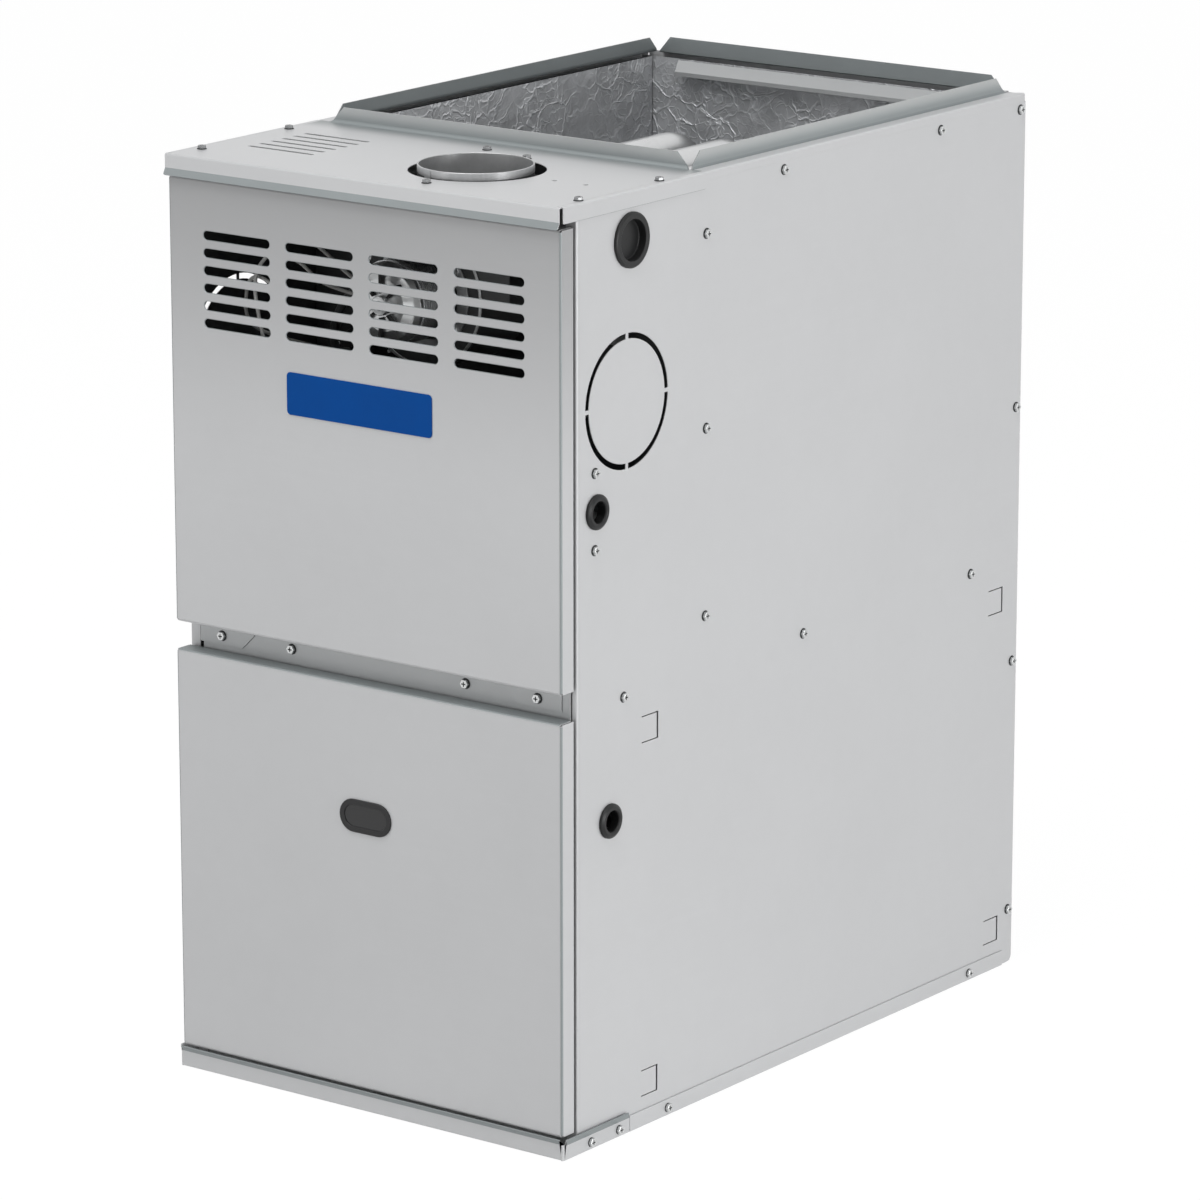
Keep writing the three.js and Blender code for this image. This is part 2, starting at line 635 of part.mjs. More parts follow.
function gasValve() {
  const { y, z } = MANIFOLD;
  const body = block([140, 200], [y - 32, y + 34], [z - 26, z + 26]);
  const head = block([146, 194], [y - 28, y + 30], [z + 24, z + 42]);
  const outlet = bar('x', [y, z], 15, [132.4, 142], 6);
  const inlet = bar('x', [y, z], 17, [198, 214], 6);
  const solenoid = bar('y', [170, z], 17, [y - 58, y - 30], 16);
  const bore = bar('x', [y, z], 10, [205, 220], 12);
  return cut(join(body, head, outlet, inlet, solenoid), bore);
}

function gasValveKnob() {
  const { y, z } = MANIFOLD;
  const skirt = bar('z', [170, y - 8], 14, [z + 42.4, z + 46], 14);
  const grip = block([156.6, 183.4], [y - 10.5, y - 5.5], [z + 45, z + 56]);
  return join(skirt, grip);
}

function hotSurfaceIgniter() {
  const x = IGNITER_X;
  const base = block([x - 9, x + 9], [176, 200], [TUBE_Z[0] - 29.6, TUBE_Z[0] - 22]);
  const blade = block([x - 2, x + 2], [184, 192], [TUBE_Z[0] - 23, TUBE_Z[0] + 10]);
  return join(base, blade);
}

function flameSensor() {
  const centre = [SENSOR_X, 188];
  const base = bar('z', centre, 7, [TUBE_Z[0] - 29.6, TUBE_Z[0] - 16], 8);
  const rod = bar('z', centre, 1.6, [TUBE_Z[0] - 18, TUBE_Z[0] + 12], 6);
  return join(base, rod);
}

// A snap disc on a small foot; both safety switches share the form.
function snapDisc(x, z, back) {
  const foot = block([x - 17, x + 17], [back - 1.5, back], [z - 9, z + 9]);
  const body = bar('y', [x, z], 9, [back - 12, back], 12);
  const blades = [-5, 5].map((offset) => block(
    [x + offset - 2.6, x + offset + 2.6], [back - 21, back - 11], [z - 0.5, z + 0.5],
  ));
  return join(foot, body, blades);
}

function rolloutSwitch() {
  const { x, z, back } = ROLLOUT;
  const bore = bar('y', [x, z + 4.5], 2.6, [back - 20, back - 3], 8);
  return cut(snapDisc(x, z, back), bore);
}

function rolloutResetButton() {
  const { x, z, back } = ROLLOUT;
  return bar('y', [x, z + 4.5], 2.2, [back - 16, back - 6], 8);
}

function pressureSwitch() {
  const { x, z, radius } = PRESSURE_SWITCH;
  const back = VESTIBULE - 0.4;
  const body = turned('y', [x, z], [
    [0, back - 26], [20, back - 26], [20, back - 18], [radius, back - 15], [radius, back - 5],
    [radius - 9, back - 2], [radius - 9, back], [0, back],
  ], 20);
  const port = bar('y', [x, z], 3.4, [back - 38, back - 25], 8);
  return join(body, port);
}

// The rubber hose from the pressure switch to the side of the inducer housing.
function pressureHose() {
  const start = new THREE.Vector3(PRESSURE_SWITCH.x, VESTIBULE - 38.8, PRESSURE_SWITCH.z);
  const end = new THREE.Vector3(-INDUCER.radius - 0.6, 125, INDUCER.z);
  const curve = new THREE.CubicBezierCurve3(
    start, new THREE.Vector3(start.x, 120, start.z), new THREE.Vector3(end.x - 60, end.y, end.z), end,
  );
  return tube(new Route([{ curve, steps: 12 }]), 4, 2, 8, 4);
}

function limitSwitch() {
  return snapDisc(120, 640, VESTIBULE - 0.4);
}

// ---- electrical parts -----------------------------------------------------------------------------

function junctionBox() {
  const left = -HALF + SHEET + 0.6;
  const shell = block([left, left + 52], [112, 190], [500, 600]);
  const hollow = block([left + 1.2, left + 60], [113.2, 188.8], [501.2, 598.8]);
  return cut(shell, hollow);
}

function controlPanel() {
  const wall = block([-205, 75], [62, 63], [252, DECK_Z - SHEET - GAP]);
  const hem = block([-205, 75], [62, 78], [DECK_Z - 2 * SHEET - GAP, DECK_Z - SHEET - GAP]);
  return join(wall, hem);
}

// The circuit board with its tall parts, on four posts.
function controlBoard() {
  const card = block([-196, -56], [52, 53.6], [264, 388]);
  const posts = [[-190, 270], [-62, 270], [-190, 382], [-62, 382]].map(
    ([x, z]) => bar('y', [x, z], 3.5, [53, 61.6], 6),
  );
  const relays = [-180, -150, -120].map((x) => block([x, x + 22], [36, 52.4], [348, 378]));
  const plugs = [[-182, 40], [-130, 56]].map(([x, length]) => block([x, x + length], [40, 52.4], [270, 282]));
  const terminals = block([-86, -66], [38, 52.4], [296, 370]);
  return join(card, posts, relays, plugs, terminals);
}

function transformer() {
  const core = block([-28, 42], [34, 50], [292, 348]);
  const foot = block([-40, 54], [60, 61.6], [304, 336]);
  const coil = block([-14, 28], [22, 61], [298, 342]);
  return join(core, foot, coil);
}

function doorSwitch() {
  const { x, z } = DOOR_SWITCH;
  const body = block([x - 13, x + 13], [30, 58], [z - 16, DECK_Z - SHEET - GAP]);
  const collar = bar('y', [x, z], 8, [24, 31], 10);
  const bore = bar('y', [x, z], 4.4, [20, 46], 10);
  return cut(join(body, collar), bore);
}

function doorSwitchPlunger() {
  const { x, z } = DOOR_SWITCH;
  const tip = SHEET + GAP;
  return turned('y', [x, z], [[0, tip], [3.2, tip], [4, tip + 1.2], [4, 38], [0, 38]], 10);
}

// ---- blower ------------------------------------------------------------------------------------

// A scroll that opens steadily from the cutoff round to the outlet, inset by the given amount.
function scrollOutline(inset, topZ) {
  const { y, z, cutoff, reach } = BLOWER;
  const start = 110;
  const turns = 20;
  const points = [];
  for (let n = 0; n <= turns; n += 1) {
    const share = n / turns;
    const angle = THREE.MathUtils.degToRad(start + (360 - start) * share);
    const radius = cutoff + (reach - cutoff) * share - inset;
    points.push([y + radius * Math.cos(angle), z + radius * Math.sin(angle)]);
  }
  const first = points[0];
  const last = points.at(-1);
  return polygon([first[0], topZ], ...points, [last[0], topZ]);
}

function blowerHousing() {
  const { y, z, half, inlet } = BLOWER;
  const wall = 1.2;
  const shell = plate('x', scrollOutline(0, HOUSING_TOP), [-half, half]);
  const hollow = plate('x', scrollOutline(wall, HOUSING_TOP + 20), [-half + wall, half - wall]);
  const inlets = [-1, 1].map((side) => bar('x', [y, z], inlet, [side * (half - 10), side * (half + 10)], 36));
  const rimWidth = 12;
  const rim = block(
    [-half - rimWidth, half + rimWidth], [DISCHARGE.front - rimWidth, DISCHARGE.back + rimWidth],
    [HOUSING_TOP - wall, HOUSING_TOP],
  );
  return cut(join(shell, rim), hollow, inlets);
}

// The squirrel-cage wheel, its centre plate, hub and shaft.
function blowerWheel() {
  const { y, z } = BLOWER;
  const { radius, half, blades } = WHEEL;
  const inner = radius - 21;
  const centre = bar('x', [y, z], radius - 2, [-3, -1], 24);
  const hub = bar('x', [y, z], 16, [-22, 6], 12);
  const shaft = bar('x', [y, z], 6.2, [-40, 60], 10);
  const rims = [-half, half - 4].map((x) => ring('x', [y, z], radius, inner, [x, x + 4], 24));
  const vanes = Array.from({ length: blades }, (_, n) => {
    const vane = new THREE.BoxGeometry(2 * half - 2, 19, 1.2);
    vane.rotateX(0.6);
    vane.translate(0, radius - 10.5, 0);
    vane.rotateX((2 * Math.PI * n) / blades);
    vane.translate(0, y, z);
    return toSolid(vane);
  });
  return join(centre, hub, shaft, rims, vanes);
}

function blowerMotor() {
  const { y, z } = BLOWER;
  const can = turned('x', [y, z], [
    [0, 14], [30, 14], [62, 20], [66, 26], [66, 112], [62, 118], [30, 122], [0, 122],
  ], 24);
  const bore = bar('x', [y, z], 6.8, [0, 70], 10);
  return cut(can, bore);
}

// A band round the motor with three arms that bolt to the housing's cheek.
function motorMount() {
  const { y, z, half } = BLOWER;
  const band = ring('x', [y, z], 69.4, 66.6, [84, 108], 24);
  const arms = [90, 210, 330].map((degrees) => {
    const arm = new THREE.BoxGeometry(3, 58, 16);
    arm.translate(half + 2, 97, 0);
    const foot = new THREE.BoxGeometry(half + 3.5 - 96, 4, 16);
    foot.translate((half + 3.5 + 96) / 2, 70, 0);
    const pair = [arm, foot].map((piece) => {
      piece.rotateX(THREE.MathUtils.degToRad(degrees));
      piece.translate(0, y, z);
      return toSolid(piece);
    });
    return join(pair);
  });
  return join(band, arms);
}

function runCapacitor() {
  return turned('z', [-140, 300], [
    [0, 120], [22, 120], [23, 122], [23, 196], [21, 198], [0, 198],
  ], 16);
}

// ---- doors and trim -------------------------------------------------------------------------------

// A tray-shaped door: a face with all four edges turned back.
function doorTray([low, high], holes) {
  const face = rectangle([-DOOR_HALF, DOOR_HALF], [low, high]);
  face.holes.push(...holes);
  const skin = plate('y', face, [0, SHEET]);
  const sides = [-1, 1].map((side) => block(
    [side * DOOR_HALF, side * (DOOR_HALF - SHEET)], [0, DOOR_RETURN], [low, high],
  ));
  const ends = [[low, low + SHEET], [high - SHEET, high]].map((zs) => block(
    [-DOOR_HALF + DOOR_CORNER, DOOR_HALF - DOOR_CORNER], [0, DOOR_RETURN - 0.5], zs,
  ));
  return join(skin, sides, ends);
}

function upperDoor() {
  const louvres = [];
  LOUVRE.x.forEach((x) => {
    for (let row = 0; row < LOUVRE.rows; row += 1) {
      louvres.push(slot(x, LOUVRE.top - row * LOUVRE.pitch, LOUVRE.length, LOUVRE.width));
    }
  });
  return doorTray(UPPER_DOOR_Z, louvres);
}

function lowerDoor() {
  const window = slot(SIGHT.x, SIGHT.z, SIGHT.width - 12, SIGHT.height - 12);
  return doorTray(LOWER_DOOR_Z, [window]);
}

function nameplate() {
  const { x, z, width, height, round, thick } = NAMEPLATE;
  const outline = roundedRectangle([x - width / 2, x + width / 2], [z - height / 2, z + height / 2], round);
  return plate('y', outline, [-thick - 0.2, -0.2]);
}

function sightWindow() {
  const { x, z, width, height, thick } = SIGHT;
  const flange = plate('y', slot(x, z, width, height, 10), [-thick - 0.2, -0.2]);
  const boss = plate('y', slot(x, z, width - 13, height - 13), [-0.3, SHEET + 3]);
  return join(flange, boss);
}

// A snap-in plug that closes the larger side hole.
function holePlug(side) {
  const face = side * (HALF + GAP);
  const out = (distance) => face + side * distance;
  const flange = bar('x', GAS_HOLE, 25, [out(0), out(3.2)], 24);
  const recess = bar('x', GAS_HOLE, 18.6, [out(1.2), out(10)], 20);
  const neck = bar('x', GAS_HOLE, 19.4, [out(1), side * (INNER - 5)], 20);
  const neckHollow = bar('x', GAS_HOLE, 17.4, [out(-0.2), side * (INNER - 10)], 12);
  return cut(join(flange, neck), recess, neckHollow);
}

// A grommet that a cable runs through.
function grommet(side, [y, z]) {
  const along = side === 1 ? 1 : -1;
  const face = HALF + GAP;
  const profile = [[9.6, INNER - 5], [11.4, INNER - 5], [11.4, face], [16, face], [16, face + 1.6],
    [13.4, face + 4], [11, face + 4], [9.6, face + 2.6], [9.6, INNER - 5]];
  const points = profile.map(([r, d]) => [r, along * d]);
  return turned('x', [y, z], along === 1 ? points : points.reverse(), 16);
}

// ---- assembly ------------------------------------------------------------------------------------

add('left_side_panel', sidePanel(-1, [LINE_HOLE]), FINISH.cabinet);
add('right_side_panel', sidePanel(1, [LINE_HOLE, LOW_HOLE]), FINISH.cabinet);
add('back_panel', backPanel(), FINISH.cabinet);
add('top_plate', topPlate(), FINISH.cabinet);
add('base_pan', basePan(), FINISH.galvanised);
add('toe_plate', toePlate(), FINISH.cabinet);
add('left_base_rail', baseRail(-1), FINISH.cabinet);
add('right_base_rail', baseRail(1), FINISH.cabinet);
add('blower_deck', blowerDeck(), FINISH.galvanised);
add('left_latch_tab', latchTab(-1), FINISH.galvanised);
add('right_latch_tab', latchTab(1), FINISH.galvanised);
add('vestibule_panel', vestibulePanel(), FINISH.galvanised);
add('left_liner', sideLiner(-1), FINISH.foil);
add('right_liner', sideLiner(1), FINISH.foil);
add('back_liner', backLiner(), FINISH.foil);
add('rear_deflector', rearDeflector(), FINISH.cabinet);
TUBE_X.forEach((x, n) => add(`exchanger_tube_${n + 1}`, exchangerTube(x), FINISH.tubes));
add('collector_box', collectorBox(), FINISH.galvanised);
add('inducer_housing', inducerHousing(), FINISH.brushed);
add('inducer_motor', inducerMotor(), FINISH.brushed);
add('inducer_wheel', inducerWheel(), FINISH.galvanised);
add('flue_collar', flueCollar(), FINISH.brushed);
TUBE_X.forEach((x, n) => add(`burner_${n + 1}`, burner(x), FINISH.galvanised));
add('burner_box', burnerBox(), FINISH.galvanised);
add('gas_manifold', gasManifold(), FINISH.darkMetal);
add('gas_valve', gasValve(), FINISH.cast);
add('gas_valve_knob', gasValveKnob(), FINISH.black);
add('hot_surface_igniter', hotSurfaceIgniter(), FINISH.ceramic);
add('flame_sensor', flameSensor(), FINISH.ceramic);
add('limit_switch', limitSwitch(), FINISH.black);
add('rollout_switch', rolloutSwitch(), FINISH.black);
add('rollout_reset_button', rolloutResetButton(), FINISH.brass);
add('pressure_switch', pressureSwitch(), FINISH.black);
add('pressure_hose', pressureHose(), FINISH.rubber);
add('junction_box', junctionBox(), FINISH.galvanised);
add('control_panel', controlPanel(), FINISH.galvanised);
add('control_board', controlBoard(), FINISH.board);
add('transformer', transformer(), FINISH.darkMetal);
add('door_switch', doorSwitch(), FINISH.black);
add('door_switch_plunger', doorSwitchPlunger(), FINISH.ceramic);
add('blower_housing', blowerHousing(), FINISH.galvanised);
add('blower_wheel', blowerWheel(), FINISH.galvanised);
add('blower_motor', blowerMotor(), FINISH.darkMetal);
add('motor_mount', motorMount(), FINISH.galvanised);
add('run_capacitor', runCapacitor(), FINISH.brushed);
add('upper_door', upperDoor(), FINISH.cabinet);
add('nameplate', nameplate(), FINISH.blue);
add('lower_door', lowerDoor(), FINISH.cabinet);
add('sight_window', sightWindow(), FINISH.black);
add('right_hole_plug', holePlug(1), FINISH.black);
add('right_line_grommet', grommet(1, LINE_HOLE), FINISH.black);
add('right_low_grommet', grommet(1, LOW_HOLE), FINISH.black);
add('left_hole_plug', holePlug(-1), FINISH.black);
add('left_line_grommet', grommet(-1, LINE_HOLE), FINISH.black);

const furnace = new THREE.Group();
const FRONT_MOST = PLATE_FRONT - LIP_REACH;
cabinet.position.y = -(FRONT_MOST + DEPTH) / 2;
furnace.add(cabinet);

export default furnace;
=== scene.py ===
"""A forced air gas furnace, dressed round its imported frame.

Every piece is worked out in millimetres in the cabinet's own measure: x across, depth behind the
faces of the doors, z up from the floor. A piece is made of closed shells, each with its points, the
direction its surface faces at each point, and its faces.
"""

import math

import bpy
import numpy as np
from mathutils.geometry import tessellate_polygon
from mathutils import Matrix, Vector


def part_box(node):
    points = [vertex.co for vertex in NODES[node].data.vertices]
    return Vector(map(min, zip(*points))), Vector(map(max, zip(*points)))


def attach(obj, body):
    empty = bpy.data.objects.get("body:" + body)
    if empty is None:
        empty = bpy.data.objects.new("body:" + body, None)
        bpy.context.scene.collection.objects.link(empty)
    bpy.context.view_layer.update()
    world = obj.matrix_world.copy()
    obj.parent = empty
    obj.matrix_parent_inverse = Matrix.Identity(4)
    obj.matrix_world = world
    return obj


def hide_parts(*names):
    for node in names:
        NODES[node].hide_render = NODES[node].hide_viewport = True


bl_info = {
    "name": "Gas furnace",
    "version": (1, 0, 0),
    "blender": (4, 5, 0),
    "location": "View3D > Sidebar > Furnace",
    "description": "Builds the panels, fittings and finishes of an upright gas furnace",
    "category": "Object",
}

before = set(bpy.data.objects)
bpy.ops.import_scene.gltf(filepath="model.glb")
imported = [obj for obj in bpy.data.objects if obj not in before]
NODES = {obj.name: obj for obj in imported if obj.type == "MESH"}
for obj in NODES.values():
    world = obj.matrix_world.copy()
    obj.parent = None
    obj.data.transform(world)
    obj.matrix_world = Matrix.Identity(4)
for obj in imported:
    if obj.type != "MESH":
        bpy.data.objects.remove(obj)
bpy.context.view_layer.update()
MM = 0.001
FACE_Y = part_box("upper_door")[0].y


def edges(node):
    """A node's lowest and highest corners, in millimetres, with depth measured from the doors."""
    low, high = (np.array(corner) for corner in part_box(node))
    shift = np.array((0.0, FACE_Y, 0.0))
    return (low - shift) / MM, (high - shift) / MM


# ---- sizes that the frame doesn't state, in millimetres ------------------------------------------

SHEET = 1.0
TOP_Z = 863.6
SIDE_X = float(edges("right_side_panel")[1][0])
FLANGE_Z = float(edges("back_panel")[1][2])
CABINET_FRONT = float(edges("right_side_panel")[0][1])
BACK_Y = float(edges("back_panel")[1][1])
PLATE_FRONT = -3.5
DUCT_HALF = 203.2
DUCT_FRONT = 213.0
DUCT_BACK = 721.0
MITRE = 14.0 / 15.0
HIDDEN_RIMS = (0.03, 0.03)
RIM = 0.18
FLANGE_BEND = 4.0
GAS_HOLE = (100.0, 819.8)
LINE_HOLE = (50.0, 585.5)
LOW_HOLE = (69.5, 299.5)
KNOCKOUT = {"y": 94.8, "z": 676.7, "radius": 58.4, "slot": 5.2, "tie": 3.7}
RETURN_MARKS = [(130.0, 372.5), (693.0, 372.5), (693.5, 40.0), (130.0, 40.0)]
MARK_SIZE = 25.0
FLUE = {"x": 54.0, "y": 97.0}
FLUE_HOLE = {"x": 52.6, "y": 100.7, "radius": 61.8}
TOP_VENTS = {"x": -148.0, "y": 70.5, "length": 76.0, "width": 4.6, "pitch": 16.0, "rows": 6}
LOUVRES = {"x": (-142.9, -47.6, 47.6, 142.9), "top": 792.8, "pitch": 16.1, "rows": 6}
LOUVRE_SLOT = (76.9, 8.0)
TUBE_X = (-95.25, -31.75, 31.75, 95.25)
TUBE_Z = (508.0, 603.0, 698.0, 793.0)
TUBE_TURNS = (275.0, 585.0)
FLARE = {"out": 3.0, "high": 850.2, "low": 844.3}
SIDE_LIP_Z = 848.4
DECK_Z = 400.0
DECK_BACK = 708.0
BLOWER_OPENING = (-113.0, 348.0, 113.0, 589.0)
STRIP = {"left": -205.0, "right": 216.5, "front": 19.3, "top": 446.0, "screws": 417.0}
DOOR = {"half": 221.5, "deep": 17.5, "corner": 2.2}
UPPER_DOOR = (429.0, 843.4)
LOWER_DOOR = (20.8, 403.0)
SIGHT_HOLE = (0.0, 279.6, 47.0, 19.0)
WHEEL_CENTRE = (395.0, 200.0)
DRAUGHT_CENTRE = (0.0, 746.0)
DRAUGHT_FRONT = 88.0

# ---- the camera and the lamps, in metres, degrees and watts ---------------------------------------

CAMERA = {"lens": 183.159, "place": (3.3309, -4.46915, 1.8376), "down": 14.387, "turn": 36.756}
FLOOR_DROP = 0.0006
FLOOR_GLOW = 1.05
FLOOR_GLOW_SHARE = 0.93
WORLD_LIGHT = 0.27
LAMPS = (
    ("lamp above", (0.2, -1.6, 4.0), (0.0, 0.0, 0.4), 3.2, 86.0),
    ("lamp right", (3.9, -0.3, 0.45), (0.0, 0.0, 0.2), 1.8, 84.0),
    ("lamp front", (-1.3, -3.6, 0.7), (0.0, 0.0, 0.1), 1.6, 18.0),
)


# ---- loops: closed outlines with the direction they face ---------------------------------------


def unit(angle):
    """Directions at angles, as pairs."""
    return np.stack([np.cos(angle), np.sin(angle)], -1)


def rounded(corners, radii, steps=4):
    """An outline with each corner replaced by an arc. Anticlockwise, its material is on the left.

    An arc touches both sides of its corner: it starts and ends radius * tan(half the turn) away
    from it, and its points lie one radius from a centre along the direction they face. A corner
    that doesn't turn stays one point.
    """
    corners = np.array(corners, float)
    radii = np.broadcast_to(np.array(radii, float), len(corners))
    points, facing = [], []
    for n, here in enumerate(corners):
        before = here - corners[n - 1]
        after = corners[(n + 1) % len(corners)] - here
        before = before / np.linalg.norm(before)
        after = after / np.linalg.norm(after)
        turn = math.atan2(before[0] * after[1] - before[1] * after[0], before @ after)
        side = 1.0 if turn >= 0 else -1.0
        straight = abs(turn) < 1e-6
        radius = 0.0 if straight else radii[n]
        parts = 0 if straight else max(2, int(round(steps * abs(turn) / (math.pi / 2))))
        out = unit(math.atan2(-before[0], before[1]) + turn * np.linspace(0, 1, parts + 1))
        centre = here - before * radius * math.tan(abs(turn) / 2) - side * radius * out[0]
        points.append(centre + side * radius * out)
        facing.append(out)
    return np.vstack(points), np.vstack(facing)


def rectangle(low_u, low_v, high_u, high_v, radii, steps=4):
    """Four corners, from the lowest one, each rounded."""
    return rounded([(low_u, low_v), (high_u, low_v), (high_u, high_v), (low_u, high_v)], radii, steps)


def circle(u, v, radius, sides=48):
    """Points one radius from a centre, facing away from it."""
    out = unit(np.linspace(0, 2 * math.pi, sides, endpoint=False))
    return np.array([u, v]) + radius * out, out


def stadium(u, v, length, width, steps=8):
    """Two half circles joined by straight runs along the first direction."""
    quarter = math.pi / 2
    right = np.linspace(-quarter, quarter, steps + 1)
    out = unit(np.concatenate([right, np.linspace(quarter, 3 * quarter, steps + 1)]))
    shift = np.repeat([1.0, -1.0], steps + 1) * (length - width) / 2
    return np.array([u, v]) + width / 2 * out + np.stack([shift, 0 * shift], 1), out


def turned_back(loop):
    """The same outline as the edge of a hole: run the other way and facing into the hole."""
    points, facing = loop
    return points[::-1], -facing[::-1]


def folded(corners, radii, rim=RIM, steps=6):
    """The closed section of a bent sheet from the corners of one face, its metal on the left.

    The other face runs parallel to the first at the sheet's thickness, and the bends on it have
    the same centres.
    """
    corners = np.array(corners, float)
    along = np.diff(corners, axis=0)
    along /= np.linalg.norm(along, axis=1)[:, None]
    left = np.stack([-along[:, 1], along[:, 0]], 1)
    before = np.vstack([left[:1], left])
    after = np.vstack([left, left[-1:]])
    other = corners + SHEET * (before + after) / (1 + np.sum(before * after, 1))[:, None]
    turn = np.zeros(len(corners))
    turn[1:-1] = along[:-1, 0] * along[1:, 1] - along[:-1, 1] * along[1:, 0]
    bends = np.array(radii, float)
    back = np.maximum(bends - np.sign(turn) * SHEET, 0.3)
    bends[[0, -1]] = rim
    back[[0, -1]] = rim
    return rounded(np.vstack([corners, other[::-1]]), np.concatenate([bends, back[::-1]]), steps)


def arc_slot(u, v, radius, width, start, end, steps):
    """A slot that follows a circle: out along its larger radius and back along its smaller one."""
    out = unit(np.linspace(start, end, steps))
    facing = np.vstack([out, -out[::-1]])
    points = np.array([u, v]) + radius * np.vstack([out, out[::-1]]) + width / 2 * facing
    along = np.stack([-out[:, 1], out[:, 0]], 1)
    facing[[0, -1]] -= along[0]
    facing[[steps - 1, steps]] += along[-1]
    return points, facing / np.linalg.norm(facing, axis=1)[:, None]


def hexagon(u, v, across):
    """Six corners, each across / sqrt(3) from the centre."""
    corners = across / math.sqrt(3) * unit(np.arange(6) * math.pi / 3)
    return rounded(np.array([u, v]) + corners, 0.5, steps=2)


def cross_recess(u, v, length, width):
    """A plus sign of two bars, anticlockwise."""
    a, b = length / 2, width / 2
    corners = [(b, -a), (b, -b), (a, -b), (a, b), (b, b), (b, a), (-b, a), (-b, b), (-a, b), (-a, -b),
               (-b, -b), (-b, -a)]
    return rounded(np.array([u, v]) + np.array(corners), 0.12, steps=2)


# ---- shells: closed surfaces --------------------------------------------------------------------

AXES = {"x": (1, 2, 0), "y": (0, 2, 1), "z": (0, 1, 2)}


class Shell:
    """The points of a closed surface, the way it faces at each, its faces and their finish."""

    def __init__(self, points, facing, faces, finish=0):
        self.points = np.asarray(points, float).reshape(-1, 3)
        self.facing = np.asarray(facing, float).reshape(-1, 3)
        self.faces = faces
        self.finish = np.broadcast_to(np.asarray(finish), len(faces))

    def mirrored(self):
        """The same shell on the other side of the cabinet."""
        flip = np.array((-1.0, 1.0, 1.0))
        return Shell(self.points * flip, self.facing * flip, [f[::-1] for f in self.faces], self.finish)

    def outward(self):
        """A shell of four-sided faces turned out: the sum of a . (b x c) over it is above nought."""
        a, b, c, d = np.moveaxis(self.points[np.array(self.faces)], 1, 0)
        if np.sum((np.cross(b, c) + np.cross(c, d)) * a) > 0:
            return self
        return Shell(self.points, self.facing, [f[::-1] for f in self.faces], self.finish)

    def painted(self, finish, test):
        """Another finish on the faces whose middle and direction pass a test of both."""
        counts = np.array([len(face) for face in self.faces])
        corners = np.concatenate(self.faces)
        starts = np.cumsum(counts) - counts
        middles, ways = (np.add.reduceat(rows[corners], starts) / counts[:, None]
                         for rows in (self.points, self.facing))
        kinds = np.where(test(middles, ways), finish, self.finish)
        return Shell(self.points, self.facing, self.faces, kinds)


def mirrored(shells):
    """Shells on the other side of the cabinet."""
    return [shell.mirrored() for shell in shells]


def grid(rows, columns, wrap_rows=False, wrap_columns=True, flip=False, start=0):
    """The four-sided faces between neighbouring rows of points."""
    row = np.arange(rows if wrap_rows else rows - 1)[:, None]
    column = np.arange(columns if wrap_columns else columns - 1)[None, :]
    next_row = (row + 1) % rows
    next_column = (column + 1) % columns
    quads = start + np.stack([
        row * columns + column, row * columns + next_column,
        next_row * columns + next_column, next_row * columns + column,
    ], -1).reshape(-1, 4)
    return (quads[:, ::-1] if flip else quads).tolist()


def placed(axis, plane_points, along):
    """Points drawn on the plane across an axis, put at their places along it."""
    first, second, third = AXES[axis]
    points = np.zeros(plane_points.shape[:-1] + (3,))
    points[..., first] = plane_points[..., 0]
    points[..., second] = plane_points[..., 1]
    points[..., third] = along
    return points


def carried(axis, loop, low, high, rim=0.12, steps=2, finish=0):
    """A section carried along an axis, with its ends closed and their rims rounded.

    An end is a number, or a function of the section's two coordinates for a slanted end. Near an
    end the section shrinks by rim * (1 - sin) while it moves by rim * (1 - cos).
    """
    section, facing = loop
    turn = np.linspace(0, math.pi / 2, steps + 1)
    rings, ways = [], []
    for end, sign, order in ((low, -1.0, turn), (high, 1.0, turn[::-1])):
        place = end(*section.T) if callable(end) else float(end)
        for angle in order:
            inset = section - facing * rim * (1 - math.sin(angle))
            rings.append(placed(axis, inset, place - sign * rim * (1 - math.cos(angle))))
            ways.append(placed(axis, facing * math.sin(angle), sign * math.cos(angle)))
    count = len(section)
    flip = axis == "y"
    step = 1 if flip else -1
    first = np.arange(count)
    last = first + count * (len(rings) - 1)
    faces = grid(len(rings), count, flip=flip) + [first[::step].tolist(), last[::-step].tolist()]
    return Shell(np.vstack(rings), np.vstack(ways), faces, finish)


def both_ends(half):
    """Two slanted ends, as far to one side of the middle as to the other."""
    return (lambda u, v: -half(u, v)), half


def skin(loops):
    """The triangles that fill an outline and leave its holes open, all facing the same way."""
    points = np.vstack(loops)
    triangles = np.array(tessellate_polygon([[(u, v, 0.0) for u, v in loop] for loop in loops]))
    a, b, c = (points[triangles[:, n]] for n in range(3))
    area = (b[:, 0] - a[:, 0]) * (c[:, 1] - a[:, 1]) - (b[:, 1] - a[:, 1]) * (c[:, 0] - a[:, 0])
    triangles[area < 0] = triangles[area < 0][:, ::-1]
    return triangles[np.abs(area) > 1e-9]


